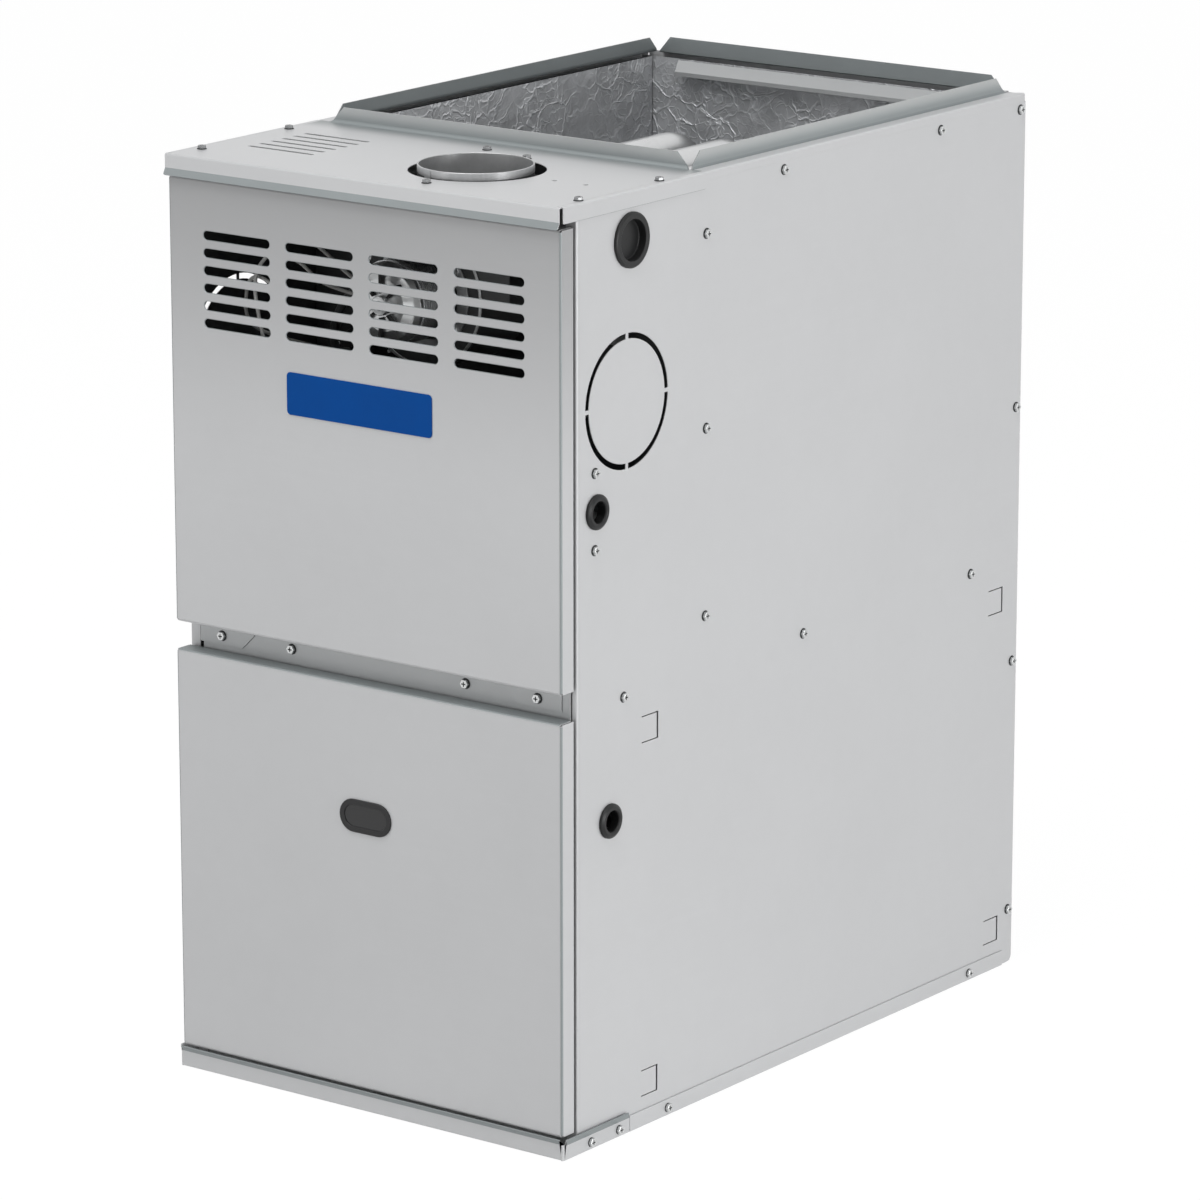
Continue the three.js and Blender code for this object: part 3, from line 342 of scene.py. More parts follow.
def punched(axis, outline, holes, low, high, rims=(RIM, RIM), hole_rims=None, steps=3):
    """A flat plate between two places on an axis, with holes and rounded rims.

    A rim is a quarter round: its points move in by radius * (1 - cos) as they move along the axis
    by radius * (1 - sin), first at the low skin and then at the high one.
    """
    flip = axis == "y"
    loops = [(outline, rims)] + [(turned_back(hole), hole_rims or rims) for hole in holes]
    turn = np.linspace(0, math.pi / 2, steps + 1)
    layers = 2 * len(turn)
    points, facing, faces, start = [], [], [], 0
    skins = {-1.0: ([], []), 1.0: ([], [])}
    for (section, ways), (low_rim, high_rim) in loops:
        count = len(section)
        for sign, radius, level, order, edge in ((-1.0, low_rim, low, turn, 0),
                                                 (1.0, high_rim, high, turn[::-1], layers - 1)):
            for angle in order:
                inset = section - ways * radius * (1 - math.sin(angle))
                points.append(placed(axis, inset, level - sign * radius * (1 - math.cos(angle))))
                facing.append(placed(axis, ways * math.sin(angle), sign * math.cos(angle)))
            skins[sign][0].append(section - ways * radius)
            skins[sign][1].append(start + edge * count + np.arange(count))
        faces += grid(layers, count, flip=flip, start=start)
        start += layers * count
    for sign, (edges_of_skin, corners) in skins.items():
        triangles = np.concatenate(corners)[skin(edges_of_skin)]
        faces += (triangles[:, ::-1] if (sign < 0) != flip else triangles).tolist()
    return Shell(np.vstack(points), np.vstack(facing), faces)


def lathe(axis, centre, section, radii, sides=48, finish=0):
    """A closed section of (radius, place along an axis), anticlockwise, swept round that axis."""
    section, ways = rounded(section, radii)
    ring = unit(np.linspace(0, 2 * math.pi, sides, endpoint=False))[None]
    points = placed(axis, np.array(centre) + ring * section[:, :1, None], section[:, 1:2])
    facing = placed(axis, ring * ways[:, :1, None], ways[:, 1:2])
    return Shell(points, facing, grid(len(section), sides, wrap_rows=True, flip=axis == "y"), finish)


def ring(axis, centre, radii, places, rims, sides=48, finish=0):
    """A ring or a disc: between two radii, and between two places along an axis."""
    (inner, outer), (low, high) = radii, places
    section = [(inner, low), (outer, low), (outer, high), (inner, high)]
    return lathe(axis, centre, section, rims, sides, finish)


def flowing(points, steps):
    """A smooth curve through points: each stretch is the cubic whose ends follow its neighbours."""
    points = np.array(points, float)
    ghost = np.vstack([2 * points[0] - points[1], points, 2 * points[-1] - points[-2]])
    t = np.linspace(0, 1, steps, endpoint=False)[:, None]
    runs = []
    for n in range(len(points) - 1):
        a, b, c, d = ghost[n:n + 4]
        runs.append(0.5 * (2 * b + (c - a) * t + (2 * a - 5 * b + 4 * c - d) * t**2
                           + (3 * b - a - 3 * c + d) * t**3))
    return np.vstack(runs + [points[-1:]])


def tube(path, radius, sides=16, finish=0):
    """A round section carried along a path, its frame turned as little as each step allows."""
    path = np.asarray(path, float)
    ahead = np.gradient(path, axis=0)
    ahead /= np.linalg.norm(ahead, axis=1)[:, None]
    side = np.cross(ahead[0], (0.3, 0.5, 0.81))
    across = []
    for way in ahead:
        side = side - way * (side @ way)
        side = side / np.linalg.norm(side)
        across.append(side)
    across = np.array(across)
    up = np.cross(ahead, across)
    turn = unit(np.linspace(0, 2 * math.pi, sides, endpoint=False))
    out = across[:, None] * turn[None, :, :1] + up[:, None] * turn[None, :, 1:]
    first = np.arange(sides)
    caps = [first[::-1].tolist(), (first + (len(path) - 1) * sides).tolist()]
    return Shell(path[:, None] + out * radius, out, grid(len(path), sides) + caps, finish)


def wall_of(path, outer, inner, sides):
    """A round pipe with a wall: the outside runs along the path and the inside comes back."""
    out, bore = tube(path, outer, sides), tube(path, inner, sides)
    count, offset, around = len(path), len(out.points), np.arange(sides)
    faces = grid(count, sides) + grid(count, sides, flip=True, start=offset)
    for row, step in ((0, -1), (count - 1, 1)):
        a, b = row * sides + around, row * sides + (around + 1) % sides
        faces += np.stack([a, offset + a, offset + b, b], 1)[:, ::step].tolist()
    return Shell(np.vstack([out.points, bore.points]), np.vstack([out.facing, -bore.facing]),
                 faces).outward()


# ---- pieces ---------------------------------------------------------------------------------------


FINISHES = {}
BEVEL_STEPS = 2
BEVEL_ANGLE = math.radians(35.0)


def add_piece(name, shells, finishes, body="cabinet", replaces=()):
    """One object from its shells, with its finishes, riding on a body."""
    points = np.vstack([shell.points for shell in shells]) * MM
    points[:, 1] += FACE_Y
    facing = np.vstack([shell.facing for shell in shells])
    facing /= np.linalg.norm(facing, axis=1)[:, None]
    faces, start = [], 0
    for shell in shells:
        faces += [[start + corner for corner in face] for face in shell.faces]
        start += len(shell.points)
    mesh = bpy.data.meshes.new(name)
    mesh.from_pydata(points.tolist(), [], faces)
    for finish in finishes:
        mesh.materials.append(FINISHES[finish])
    kinds = np.concatenate([shell.finish for shell in shells]).astype(np.int32)
    mesh.polygons.foreach_set("material_index", kinds)
    mesh.polygons.foreach_set("use_smooth", np.ones(len(faces), bool))
    mesh.normals_split_custom_set_from_vertices(facing.tolist())
    piece = bpy.data.objects.new(name, mesh)
    bpy.context.scene.collection.objects.link(piece)
    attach(piece, body)
    if replaces:
        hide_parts(*replaces)
    return piece


def soften(node, width):
    """Rounds the edges of a CAD node's own mesh where two faces meet at more than an angle."""
    piece = NODES[node]
    weld = piece.modifiers.new("weld", "WELD")
    weld.merge_threshold = 0.01 * MM
    dissolve = piece.modifiers.new("flat faces", "DECIMATE")
    dissolve.decimate_type = "DISSOLVE"
    dissolve.angle_limit = math.radians(0.5)
    bevel = piece.modifiers.new("rims", "BEVEL")
    bevel.width = width * MM
    bevel.segments = BEVEL_STEPS
    bevel.limit_method = "ANGLE"
    bevel.angle_limit = BEVEL_ANGLE
    bevel.use_clamp_overlap = True
    normals = piece.modifiers.new("normals", "WEIGHTED_NORMAL")
    normals.keep_sharp = True
    piece.data.polygons.foreach_set("use_smooth", np.ones(len(piece.data.polygons), bool))
    return piece


def screw(axis, sign, u, v, surface, across, washer, height=3.4):
    """A hex washer head on a face: a thin flared washer, a six-sided head and a cross recess."""
    def level(out):
        """A height above the face."""
        return surface + sign * out

    dish = [(0.4, level(0.0)), (washer / 2, level(0.0)), (washer / 2, level(0.55)),
            (across / 2 * 0.9, level(1.0)), (0.4, level(1.0))]
    # The washer and the bottom of the recess take finish 1: near-black painted shadow.
    shells = [lathe(axis, (u, v), dish[::sign], [0.05, 0.1, 0.25, 0.1, 0.05], sides=20, finish=1)]
    low, high = sorted((level(0.9), level(height)))
    shells.append(punched(axis, hexagon(u, v, across), [cross_recess(u, v, 4.6, 1.1)], low, high,
                          (0.05, 0.45)[::sign], hole_rims=(0.08, 0.08)))
    low, high = sorted((level(0.9), level(height - 1.6)))
    shells.append(carried(axis, circle(u, v, 2.6, 16), low, high, rim=0.05, finish=1))
    return shells


def screws(axis, sign, places, surface, across, washer, height=3.4):
    """A screw at each place on a face."""
    return [part for u, v in places for part in screw(axis, sign, u, v, surface, across, washer, height)]


def round_places(u, v, radius, count, start=0.0):
    """Places spread evenly round a circle."""
    return np.array([u, v]) + radius * unit(start + 2 * math.pi * np.arange(count) / count)


# ---- casing ----------------------------------------------------------------------------------------


def casing_bend():
    """The outer radius of the casing's bends, in millimetres."""
    return bpy.context.scene.furnace_sizes.casing_bend / MM


def side_wall(grommets):
    """The right side: a flat wall, a front return, and a ledge whose edge stands up at the duct."""
    front, floor, top = CABINET_FRONT, 0.3, TOP_Z - SHEET - 0.3
    low_ledge = TOP_Z - 8.0
    corners = [(front + 4, floor), (BACK_Y, floor), (BACK_Y, low_ledge), (DUCT_FRONT + 0.3, low_ledge),
               (DUCT_FRONT + 0.3, top), (front + 4, top)]
    outline = rounded(corners, [0.05, 7.0, 0.05, 0.05, 0.3, 0.05], steps=8)
    holes = [circle(*GAS_HOLE, 20.0)] + [circle(*place, 12.0) for place in grommets]
    half_tie = KNOCKOUT["tie"] / KNOCKOUT["radius"] / 2
    for start in np.arange(4) * math.pi / 2:
        holes.append(arc_slot(KNOCKOUT["y"], KNOCKOUT["z"], KNOCKOUT["radius"], KNOCKOUT["slot"],
                              start + half_tie, start + math.pi / 2 - half_tie, 16))
    h = MARK_SIZE / 2
    mark = np.array([(-h, -h), (h, -h), (h, h), (-h, h), (-h, h - 0.9), (h - 2.4, h - 0.9),
                     (h - 2.4, 0.9 - h), (-h, 0.9 - h)])
    holes += [rounded(mark + place, 0.36, steps=2) for place in RETURN_MARKS]
    wall = punched("x", outline, holes, SIDE_X - SHEET, SIDE_X, rims=HIDDEN_RIMS,
                   hole_rims=(RIM, 0.3))
    returns = folded([(SIDE_X - 11.5, front), (SIDE_X, front), (SIDE_X, front + 4)],
                     [0, casing_bend(), 0])
    # The inner faces take finish 3: near-black painted shade for the dark inside of the cabinet.
    shells = [wall.painted(3, lambda point, way: way[:, 0] < -0.5),
              carried("z", returns, floor, top, RIM)]
    fold = folded([(SIDE_X, low_ledge), (SIDE_X, TOP_Z), (DUCT_HALF + SHEET, TOP_Z),
                   (DUCT_HALF + SHEET, FLANGE_Z)], [0, casing_bend(), FLANGE_BEND, 0], steps=10)

    def ledge_front(x, z):
        """The front end: straight, and slanting back where the edge stands up."""
        return np.where(z > TOP_Z + 0.6, DUCT_FRONT + 1.0 + (z - TOP_Z) * MITRE, DUCT_FRONT + 0.4)

    def ledge_back(x, z):
        """The back end: at the cabinet's back, at the duct's back, and slanting where it stands up."""
        flat = np.where(x > DUCT_HALF + 5.5, BACK_Y - 1.4, DUCT_BACK + 0.1)
        return np.where(z > TOP_Z + 0.6, DUCT_BACK - (z - TOP_Z) * MITRE, flat)

    ledge = carried("y", fold, ledge_front, ledge_back, RIM)
    # The flange's outer faces take finish 2: painted shade, darker towards the root.
    ledge = ledge.painted(2, lambda point, way: (point[:, 2] > TOP_Z + 0.2) & (way[:, 0] > 0))
    shells.append(ledge.painted(1, lambda point, way: (point[:, 0] < DUCT_HALF + 5.2)
                                & (way[:, 0] < 0.8) & (point[:, 2] < FLANGE_Z - 1)))
    return shells


def corner_cut(z, level, radius):
    """How far a round lower corner cuts in at a height: radius - sqrt(radius^2 - depth^2)."""
    depth = np.clip(level + radius - z, 0, radius)
    return radius - np.sqrt(radius**2 - depth**2)


def mitred(root):
    """The ends of a duct flange, which close in as it rises."""
    return both_ends(lambda y, z: root - np.clip(z - TOP_Z, 0, None) * MITRE)


def top_cover():
    """The top plate: a flat sheet with its openings, a flared front lip, side lips and a flange."""
    bend = casing_bend()
    lip_face = SIDE_X + 0.3 + SHEET
    edge = 217.0
    behind = DUCT_FRONT - SHEET - FLANGE_BEND - 0.2
    root = DUCT_HALF + SHEET
    corners = [(-edge, 0), (edge, 0), (edge, DUCT_FRONT), (root, DUCT_FRONT), (root, behind),
               (-root, behind), (-root, DUCT_FRONT), (-edge, DUCT_FRONT)]
    holes = [circle(FLUE_HOLE["x"], FLUE_HOLE["y"], FLUE_HOLE["radius"], 96)]
    holes += [stadium(TOP_VENTS["x"], TOP_VENTS["y"] + row * TOP_VENTS["pitch"], TOP_VENTS["length"],
                      TOP_VENTS["width"]) for row in range(TOP_VENTS["rows"])]
    holes += [circle(141.0, 97.5, 2.4, 20), circle(175.0, 98.0, 2.4, 20)]
    plate = punched("z", rounded(corners, 0.05, steps=2), holes, TOP_Z - SHEET, TOP_Z,
                    rims=HIDDEN_RIMS, hole_rims=(RIM, 0.35))
    # The underside takes finish 3: near-black painted shade.
    shells = [plate.painted(3, lambda point, way: way[:, 2] < -0.5)]
    out, high, low = FLARE["out"], FLARE["high"], FLARE["low"]
    flare = [(PLATE_FRONT - out * down, high - (high - low) * down) for down in (0.7, 0.8, 0.88, 0.94, 1.0)]
    lip = folded([(0, TOP_Z), (PLATE_FRONT, TOP_Z), (PLATE_FRONT, high)] + flare,
                 [0, bend, 1.5] + [0] * len(flare), steps=8)
    ends = both_ends(lambda y, z: SIDE_X - corner_cut(z, low, 1.6))
    # The flare's front faces take finish 2: painted shade.
    shells.append(carried("x", lip, *ends, RIM, finish=4).painted(
        2, lambda point, way: (point[:, 2] < high + 0.2) & (way[:, 1] < 0)))
    fold = folded([(lip_face, SIDE_LIP_Z + rise) for rise in (0.0, 0.6, 1.4, 2.6, 5.0)]
                  + [(lip_face, TOP_Z), (edge, TOP_Z)], [0] * 5 + [bend, 0], rim=0.45, steps=8)
    side_lip = carried("y", fold, lambda x, z: 0.9 + corner_cut(z, SIDE_LIP_Z, 1.5),
                       lambda x, z: DUCT_FRONT - corner_cut(z, SIDE_LIP_Z, 5.0), RIM, finish=4)
    side_lip = side_lip.painted(
        1, lambda point, way: (point[:, 2] < SIDE_LIP_Z + 0.8) & (way[:, 2] < -0.2))
    flange = folded([(DUCT_FRONT - SHEET, FLANGE_Z), (DUCT_FRONT - SHEET, TOP_Z), (behind, TOP_Z)],
                    [0, FLANGE_BEND, 0], steps=10)
    upright = carried("x", flange, *mitred(root), RIM)
    # The upright takes finish 2 above the plate, painted shade darker towards the root, and painted shadow
    # (finish 1) on its back face and root.
    upright = upright.painted(2, lambda point, way: point[:, 2] > TOP_Z + 1)
    upright = upright.painted(1, lambda point, way: (way[:, 1] > 0.5) | (point[:, 2] < 869))
    return shells + [side_lip, side_lip.mirrored(), upright]


def back_wall():
    """The back: a flat wall, turned edges, and a ledge that stands up behind the duct."""
    half = SIDE_X - SHEET - 0.3
    root = DUCT_HALF - 0.3
    front = DUCT_BACK + 0.3
    wall = carried("y", rectangle(-half, 0.3, half, 862.3, RIM), BACK_Y - SHEET, BACK_Y, RIM)
    edge = carried("x", rectangle(BACK_Y - 21, 1.3, BACK_Y, 839.6, 0.3), half - SHEET, half, RIM)
    section = folded([(front + SHEET, TOP_Z - SHEET), (front + SHEET, FLANGE_Z)], [0, 0])
    flange = carried("x", section, *mitred(root), RIM)
    ledge = carried("x", rectangle(front, TOP_Z - SHEET, BACK_Y, TOP_Z, [0.2, 0.2, 0.4, 0.2]),
                    -root, root, RIM)
    return [wall, edge, edge.mirrored(), flange.painted(1, lambda point, way: way[:, 1] < 0.5), ledge]


def toe_board():
    """The bottom front: a face with a flared upper edge, a web beneath, and a wrap at each side."""
    face = SIDE_X + 0.3 + SHEET
    section = folded([(-4.6, 20.0), (-1.6, 15.0), (-1.6, 0.0), (CABINET_FRONT - 0.3, 0.0)],
                     [0, 2.0, 1.6, 0], steps=8)
    front = carried("x", section, -(face - 2.4), face - 2.4, RIM)
    shells = [front.painted(1, lambda point, way: (point[:, 2] > 15.2) & (way[:, 1] < 0))]
    corner = carried("z", folded([(face - 2.4, -1.6), (face, -1.6), (face, 1.2)], [0, 2.0, 0]),
                     0, 14.6, RIM)
    wrap = folded([(face, 0.0), (face, 13.3), (face + 2.4, 19.6)], [0, 1.6, 0])
    side = carried("y", wrap, 1.2, lambda x, z: 98.0 - np.clip(z - 13.3, 0, None) * 0.6, RIM)
    side = side.painted(1, lambda point, way: (point[:, 2] > 13.8) & (way[:, 0] > 0))
    return shells + [corner, corner.mirrored(), side, side.mirrored()]


def deck():
    """The shelf between the compartments, its front turned up into the strip between the doors.

    The strip reaches further to the right, where metal shows in the gap and no hole.
    """
    half = SIDE_X - SHEET - 0.3
    behind, level = CABINET_FRONT + 2.0, DECK_Z - SHEET
    shelf = punched("z", rectangle(-half, behind, half, DECK_BACK, 0.3, steps=2),
                    [rectangle(*BLOWER_OPENING, 3.0)], level, DECK_Z)
    strip = folded([(STRIP["front"], STRIP["top"]), (STRIP["front"], level), (behind + 0.1, level)],
                   [0, 1.5, 0])
    side = carried("x", rectangle(behind, level, DECK_BACK, DECK_Z + 19.0, 0.3), half - SHEET, half, RIM)
    return [shelf, carried("x", strip, STRIP["left"], STRIP["right"], RIM, finish=1), side,
            side.mirrored()]


def door(low, high, holes, ledge_finish=0):
    """A tray: a flat face with its openings, and four edges turned back round a soft bend."""
    sizes = bpy.context.scene.furnace_sizes
    bend = sizes.door_bend / MM
    half, deep, corner = DOOR["half"], DOOR["deep"], DOOR["corner"]
    flat = bend + 0.1
    outline = rectangle(-half + flat, low + flat, half - flat, high - flat, 0.05, steps=2)
    face = punched("y", outline, holes, 0.0, SHEET, rims=HIDDEN_RIMS,
                   hole_rims=(sizes.louvre_rim / MM, 0.1), steps=5)
    side = folded([(half - flat, 0.0), (half, 0.0), (half, deep)], [0, bend, 0], steps=10)

    def short(x, y):
        """The bend stops short of the corner, and the flange behind it starts a little above."""
        return np.where(y < bend, flat, 0.6)

    edge = carried("z", side, lambda x, y: low + short(x, y), lambda x, y: high - short(x, y), RIM)
    edge = edge.painted(1, lambda point, way: (way[:, 0] > 0.2) & (way[:, 1] < -0.2))
    top = folded([(deep - 0.5, high), (0.0, high), (0.0, high - flat)], [0, bend, 0], steps=10)
    bottom = folded([(0.0, low + flat), (0.0, low), (deep - 0.5, low)], [0, bend, 0], steps=10)
    ends = both_ends(lambda y, z: half - np.where(y < bend, flat, corner))
    upper = carried("x", top, *ends, RIM).painted(ledge_finish, lambda point, way: way[:, 2] > 0.35)
    # The rims of the openings take finish 2: painted shade round the louvres and the sight hole.
    return [face.painted(2, lambda point, way: np.abs(way[:, 1]) < 0.93), edge, edge.mirrored(), upper,
            carried("x", bottom, *ends, RIM)]


def louvre_holes():
    """The upper door's slots: columns of rows, from the top one down."""
    return [stadium(x, LOUVRES["top"] - row * LOUVRES["pitch"], *LOUVRE_SLOT, steps=12)
            for x in LOUVRES["x"] for row in range(LOUVRES["rows"])]


def sight_cover():
    """A black oval: a domed rim stood round a sunk window."""
    low, high = edges("sight_window")
    x, _, z = (low + high) / 2
    length, _, height = high - low
    rim = punched("y", stadium(x, z, length, height, 14), [stadium(x, z, length - 11, height - 11, 14)],
                  low[1], -0.2, rims=(0.75, 0.05), steps=4)
    window = stadium(x, z, length - 10.6, height - 10.6, 14)
    return [rim, carried("y", window, -0.7, 3.6, 0.1, finish=1)]


def plate_blank():
    """The coloured plate, bare: a thin rounded sheet with a soft edge."""
    low, high = edges("nameplate")
    outline = rectangle(low[0], low[2], high[0], high[2], 4.0, steps=8)
    return [carried("y", outline, low[1], high[1], 0.35, steps=4)]


def grommet(y, z):
    """A rubber ring: a soft collar outside, a neck through the wall and a lip inside."""
    face, radius = SIDE_X + 0.3, 16.0
    section = [(9.6, SIDE_X - 6), (11.4, SIDE_X - 6), (11.4, face), (radius, face), (radius, face + 2.2),
               (13.2, face + 4.0), (10.6, face + 4.0), (9.6, face + 2.6)]
    return [lathe("x", (y, z), section, [0.6, 0.6, 0.1, 0.4, 1.6, 1.6, 1.2, 1.2], sides=56)]


def hole_plug():
    """A snap-in plug: a flat collar round a sunk floor, with a neck through the wall."""
    face = SIDE_X + 0.3
    section = [(0.3, face - 6.0), (17.4, face - 6.0), (17.4, SIDE_X - 8), (19.4, SIDE_X - 8),
               (19.4, face), (25.0, face), (25.0, face + 2.2), (23.4, face + 3.2), (18.6, face + 3.2),
               (18.0, face - 4.6), (0.3, face - 4.6)]
    radii = [0.05, 0.3, 0.3, 0.5, 0.1, 0.3, 1.2, 1.2, 0.9, 0.8, 0.05]
    return [lathe("x", GAS_HOLE, section, radii, sides=64)]


def collar():
    """The flue collar: a rolled tube with a turned rim, and the lap of its seam."""
    low, high = edges("flue_collar")
    centre = np.array([FLUE["x"], FLUE["y"]])
    outer = (high[0] - low[0]) / 2
    inner = outer - 1.5
    foot, rim = low[2], high[2]
    section = [(inner, foot), (outer, foot), (outer, rim - 7.0), (outer, rim - 2.2), (outer, rim),
               (inner, rim)]
    wall = lathe("z", centre, section, [0.2, 0.2, 0.1, 0.3, 0.7, 0.6], sides=128)
    # The outer wall below the rim takes finish 1: painted shade for the dark gap under the rolled rim.
    wall = wall.painted(1, lambda point, way: (np.sum(way[:, :2] * (point[:, :2] - centre), 1) > 1)
                        & (point[:, 2] < rim - 6.5))
    start = math.radians(-112)
    out = unit(np.linspace(start, start + 0.17, 10))
    lap = centre + np.vstack([out * (outer + 0.35), out[::-1] * (outer - 0.2)])
    return [wall, carried("z", (lap, np.vstack([out, -out[::-1]])), foot + 1, rim - 1.2, 0.1)]


def tube_path(x):
    """A four-pass path: straight runs joined by half circles in an upright plane."""
    mouth = edges("exchanger_tube_1")[0][1]
    run = np.linspace(0, 1, 9)[:, None]
    turn = np.linspace(-math.pi / 2, math.pi / 2, 25)
    parts = []
    ends = [mouth, TUBE_TURNS[1], TUBE_TURNS[0], TUBE_TURNS[1], mouth]
    for n, z in enumerate(TUBE_Z):
        start, end = ends[n], ends[n + 1]
        parts.append(np.array([x, start, z]) + run[:-1] * np.array([0, end - start, 0]))
        if n < 3:
            rise = (TUBE_Z[n + 1] - z) / 2
            side = 1.0 if n % 2 == 0 else -1.0
            parts.append(np.stack([x + 0 * turn, end + side * rise * np.cos(turn),
                                   z + rise + rise * np.sin(turn)], 1)[:-1])
    parts.append(np.array([[x, ends[-1], TUBE_Z[-1]]]))
    return np.vstack(parts)


def crinkled(width, height, cells, depth, seed):
    """Heights of crinkled foil: folds |sin| of warped distances at three scales, largest first."""
    random = np.random.default_rng(seed)
    rows, columns = int(height / cells) + 1, int(width / cells) + 1
    u = np.linspace(0, width, columns)[None, :]
    v = np.linspace(0, height, rows)[:, None]
    total = np.zeros((rows, columns))
    for size, share in ((90.0, 0.5), (38.0, 0.3), (15.0, 0.2)):
        for _ in range(4):
            angle, phase = random.uniform(0, math.pi), random.uniform(0, 6.28)
            warp = 0.35 * size * np.sin(v / size * 2.1 + phase) * np.cos(u / size * 1.7 + phase)
            across = u * math.cos(angle) + v * math.sin(angle) + warp
            total += share * (1 - np.abs(np.sin(math.pi * across / size + phase))) ** 3
    return u[0], v[:, 0], depth * total / total.max()


def foil_sheet(axis, face, span, heights, seed):
    """A blanket whose face is crinkled foil: a grid moved towards the air by its folds."""
    (u0, u1), (z0, z1) = span, heights
    depth, thickness, hem = 2.2, 2.4, 9.0
    u, v, lift = crinkled(u1 - u0, z1 - z0, 3.4, depth, seed)
    from_edge = np.minimum(np.minimum(u, u[-1] - u)[None, :], np.minimum(v, v[-1] - v)[:, None])
    lift = lift * np.minimum(1, from_edge / hem)
    rows, columns = lift.shape
    spots = np.stack(np.meshgrid(u0 + u, z0 + v), -1)
    slope_v, slope_u = np.gradient(lift, v, u)
    points = [placed(axis, spots, face + depth - lift), placed(axis, spots, face + thickness)]
    facing = [placed(axis, np.stack([-slope_u, -slope_v], -1), -1.0), placed(axis, 0 * spots, 1.0)]
    count = rows * columns
    index = np.arange(count).reshape(rows, columns)
    border = np.concatenate([index[0, :-1], index[:-1, -1], index[-1, :0:-1], index[:0:-1, 0]])
    following = np.roll(border, -1)
    faces = grid(rows, columns, wrap_columns=False)
    faces += grid(rows, columns, wrap_columns=False, flip=True, start=count)
    faces += np.stack([border, border + count, following + count, following], 1).tolist()
    return Shell(np.stack(points), np.stack(facing), faces).outward()


# ---- the parts behind the doors ----------------------------------------------------------------


def burner(x):
    """A bell mouth, a throat and a wide head, open from end to end, with a crimped seam."""
    section = [(14, 118), (8.5, 140), (8.5, 152), (15.5, 172), (15.5, 196), (14, 196), (14, 172.4),
               (7, 152.4), (7, 139.6), (12.5, 118)]
    radii = [0.5, 6, 6, 5, 0.3, 0.3, 4, 5, 5, 0.3]
    return [lathe("y", (x, TUBE_Z[0]), section, radii),
            carried("y", rectangle(x - 1.2, 523.0, x + 1.2, 526.4, 0.5), 174, 195.5, 0.2)]


def manifold():
    """The gas pipe with its cap, a brass orifice facing each burner, and two feet."""
    y, z, radius = 96.0, TUBE_Z[0], 11.0
    section = [(0.3, -118), (14, -118), (14, -106), (radius, -106), (radius, 131.8), (0.3, 131.8)]
    shells = [lathe("x", (y, z), section, [0.05, 1.5, 1.5, 0.4, 0.6, 0.05])]
    nozzle = [(1.0, y + 14), (4.6, y + 14), (3.0, y + 20), (1.0, y + 20)]
    for x in TUBE_X:
        shells.append(carried("y", hexagon(x, z, 13.0), y + 3, y + 15, 0.4, finish=1))
        shells.append(lathe("y", (x, z), nozzle, [0.2, 0.3, 0.6, 0.3], sides=24, finish=1))
    foot = rectangle(y - 4, z - 30, y + 4, z - 6, 1.2)
    return shells + [carried("x", foot, x - 8, x + 8, 0.5) for x in (-62.0, 62.0)]


def wheel():
    """The squirrel-cage wheel: curved vanes between two rims, a centre plate, a hub and a shaft."""
    radius, half, count = 127.0, 96.0, 44
    inner = radius - 21.0
    t = np.linspace(0, 1, 7)
    spine = inner + 1.0 + (radius - inner - 1.6) * t
    shells = []
    for start in 2 * math.pi * np.arange(count) / count:
        middle = np.array(WHEEL_CENTRE) + spine[:, None] * unit(start + 0.16 * t**1.6)
        along = np.gradient(middle, axis=0)
        along /= np.linalg.norm(along, axis=1)[:, None]
        side = np.stack([along[:, 1], -along[:, 0]], 1)
        loop = np.vstack([middle + 0.45 * side, (middle - 0.45 * side)[::-1]])
        shells.append(carried("x", (loop, np.vstack([side, -side[::-1]])), -half + 2, half - 2, 0.1))
    for low in (-half, half - 4):
        shells.append(ring("x", WHEEL_CENTRE, (inner, radius), (low, low + 4), [0.3, 1.2, 1.2, 0.3], 96))
    shells.append(ring("x", WHEEL_CENTRE, (6.4, radius - 2), (-3, -1), 0.3, 96))
    shells.append(ring("x", WHEEL_CENTRE, (6.4, 16), (-22, 6), [0.4, 1.2, 1.2, 0.4]))
    shells.append(ring("x", WHEEL_CENTRE, (0.3, 6.2), (-40, 60), [0.05, 0.8, 0.8, 0.05], 32))
    return shells


def blower_drive():
    """The motor: a can with two dished ends, and dark pads that paint the shade inside cooling slots."""
    y, z = WHEEL_CENTRE
    section = [(6.8, 14), (30, 14), (62, 20), (66, 26), (66, 112), (62, 118), (30, 122), (6.8, 122)]
    shells = [lathe("x", WHEEL_CENTRE, section, [0.5, 4, 4, 3, 3, 4, 4, 0.5], sides=96)]
    shells += [ring("x", place, (0.3, 4.2), (114, 121.0), [0.05, 0.3, 0.4, 0.05], 20, finish=1)
               for place in round_places(y, z, 46, 12)]
    return shells + screws("x", 1, [(y + 24, z), (y - 24, z)], 121.8, 7, 8, 3)


def capacitor():
    """The run capacitor: a can with a rolled rim and two flat terminals."""
    x, y = -140, 300
    section = [(0.3, 120), (22, 120), (23, 122), (23, 196), (21, 198), (0.3, 198)]
    shells = [lathe("z", (x, y), section, [0.05, 1, 1, 1, 1, 0.05], sides=64),
              ring("z", (x, y), (20.6, 23.4), (196.6, 199.4), 1.0, 64)]
    for middle in (x - 8.0, x + 8.0):
        blade = rectangle(middle - 3, y - 0.6, middle + 3, y + 0.6, 0.2)
        shells.append(carried("z", blade, 197, 205, 0.2, finish=1))
    return shells


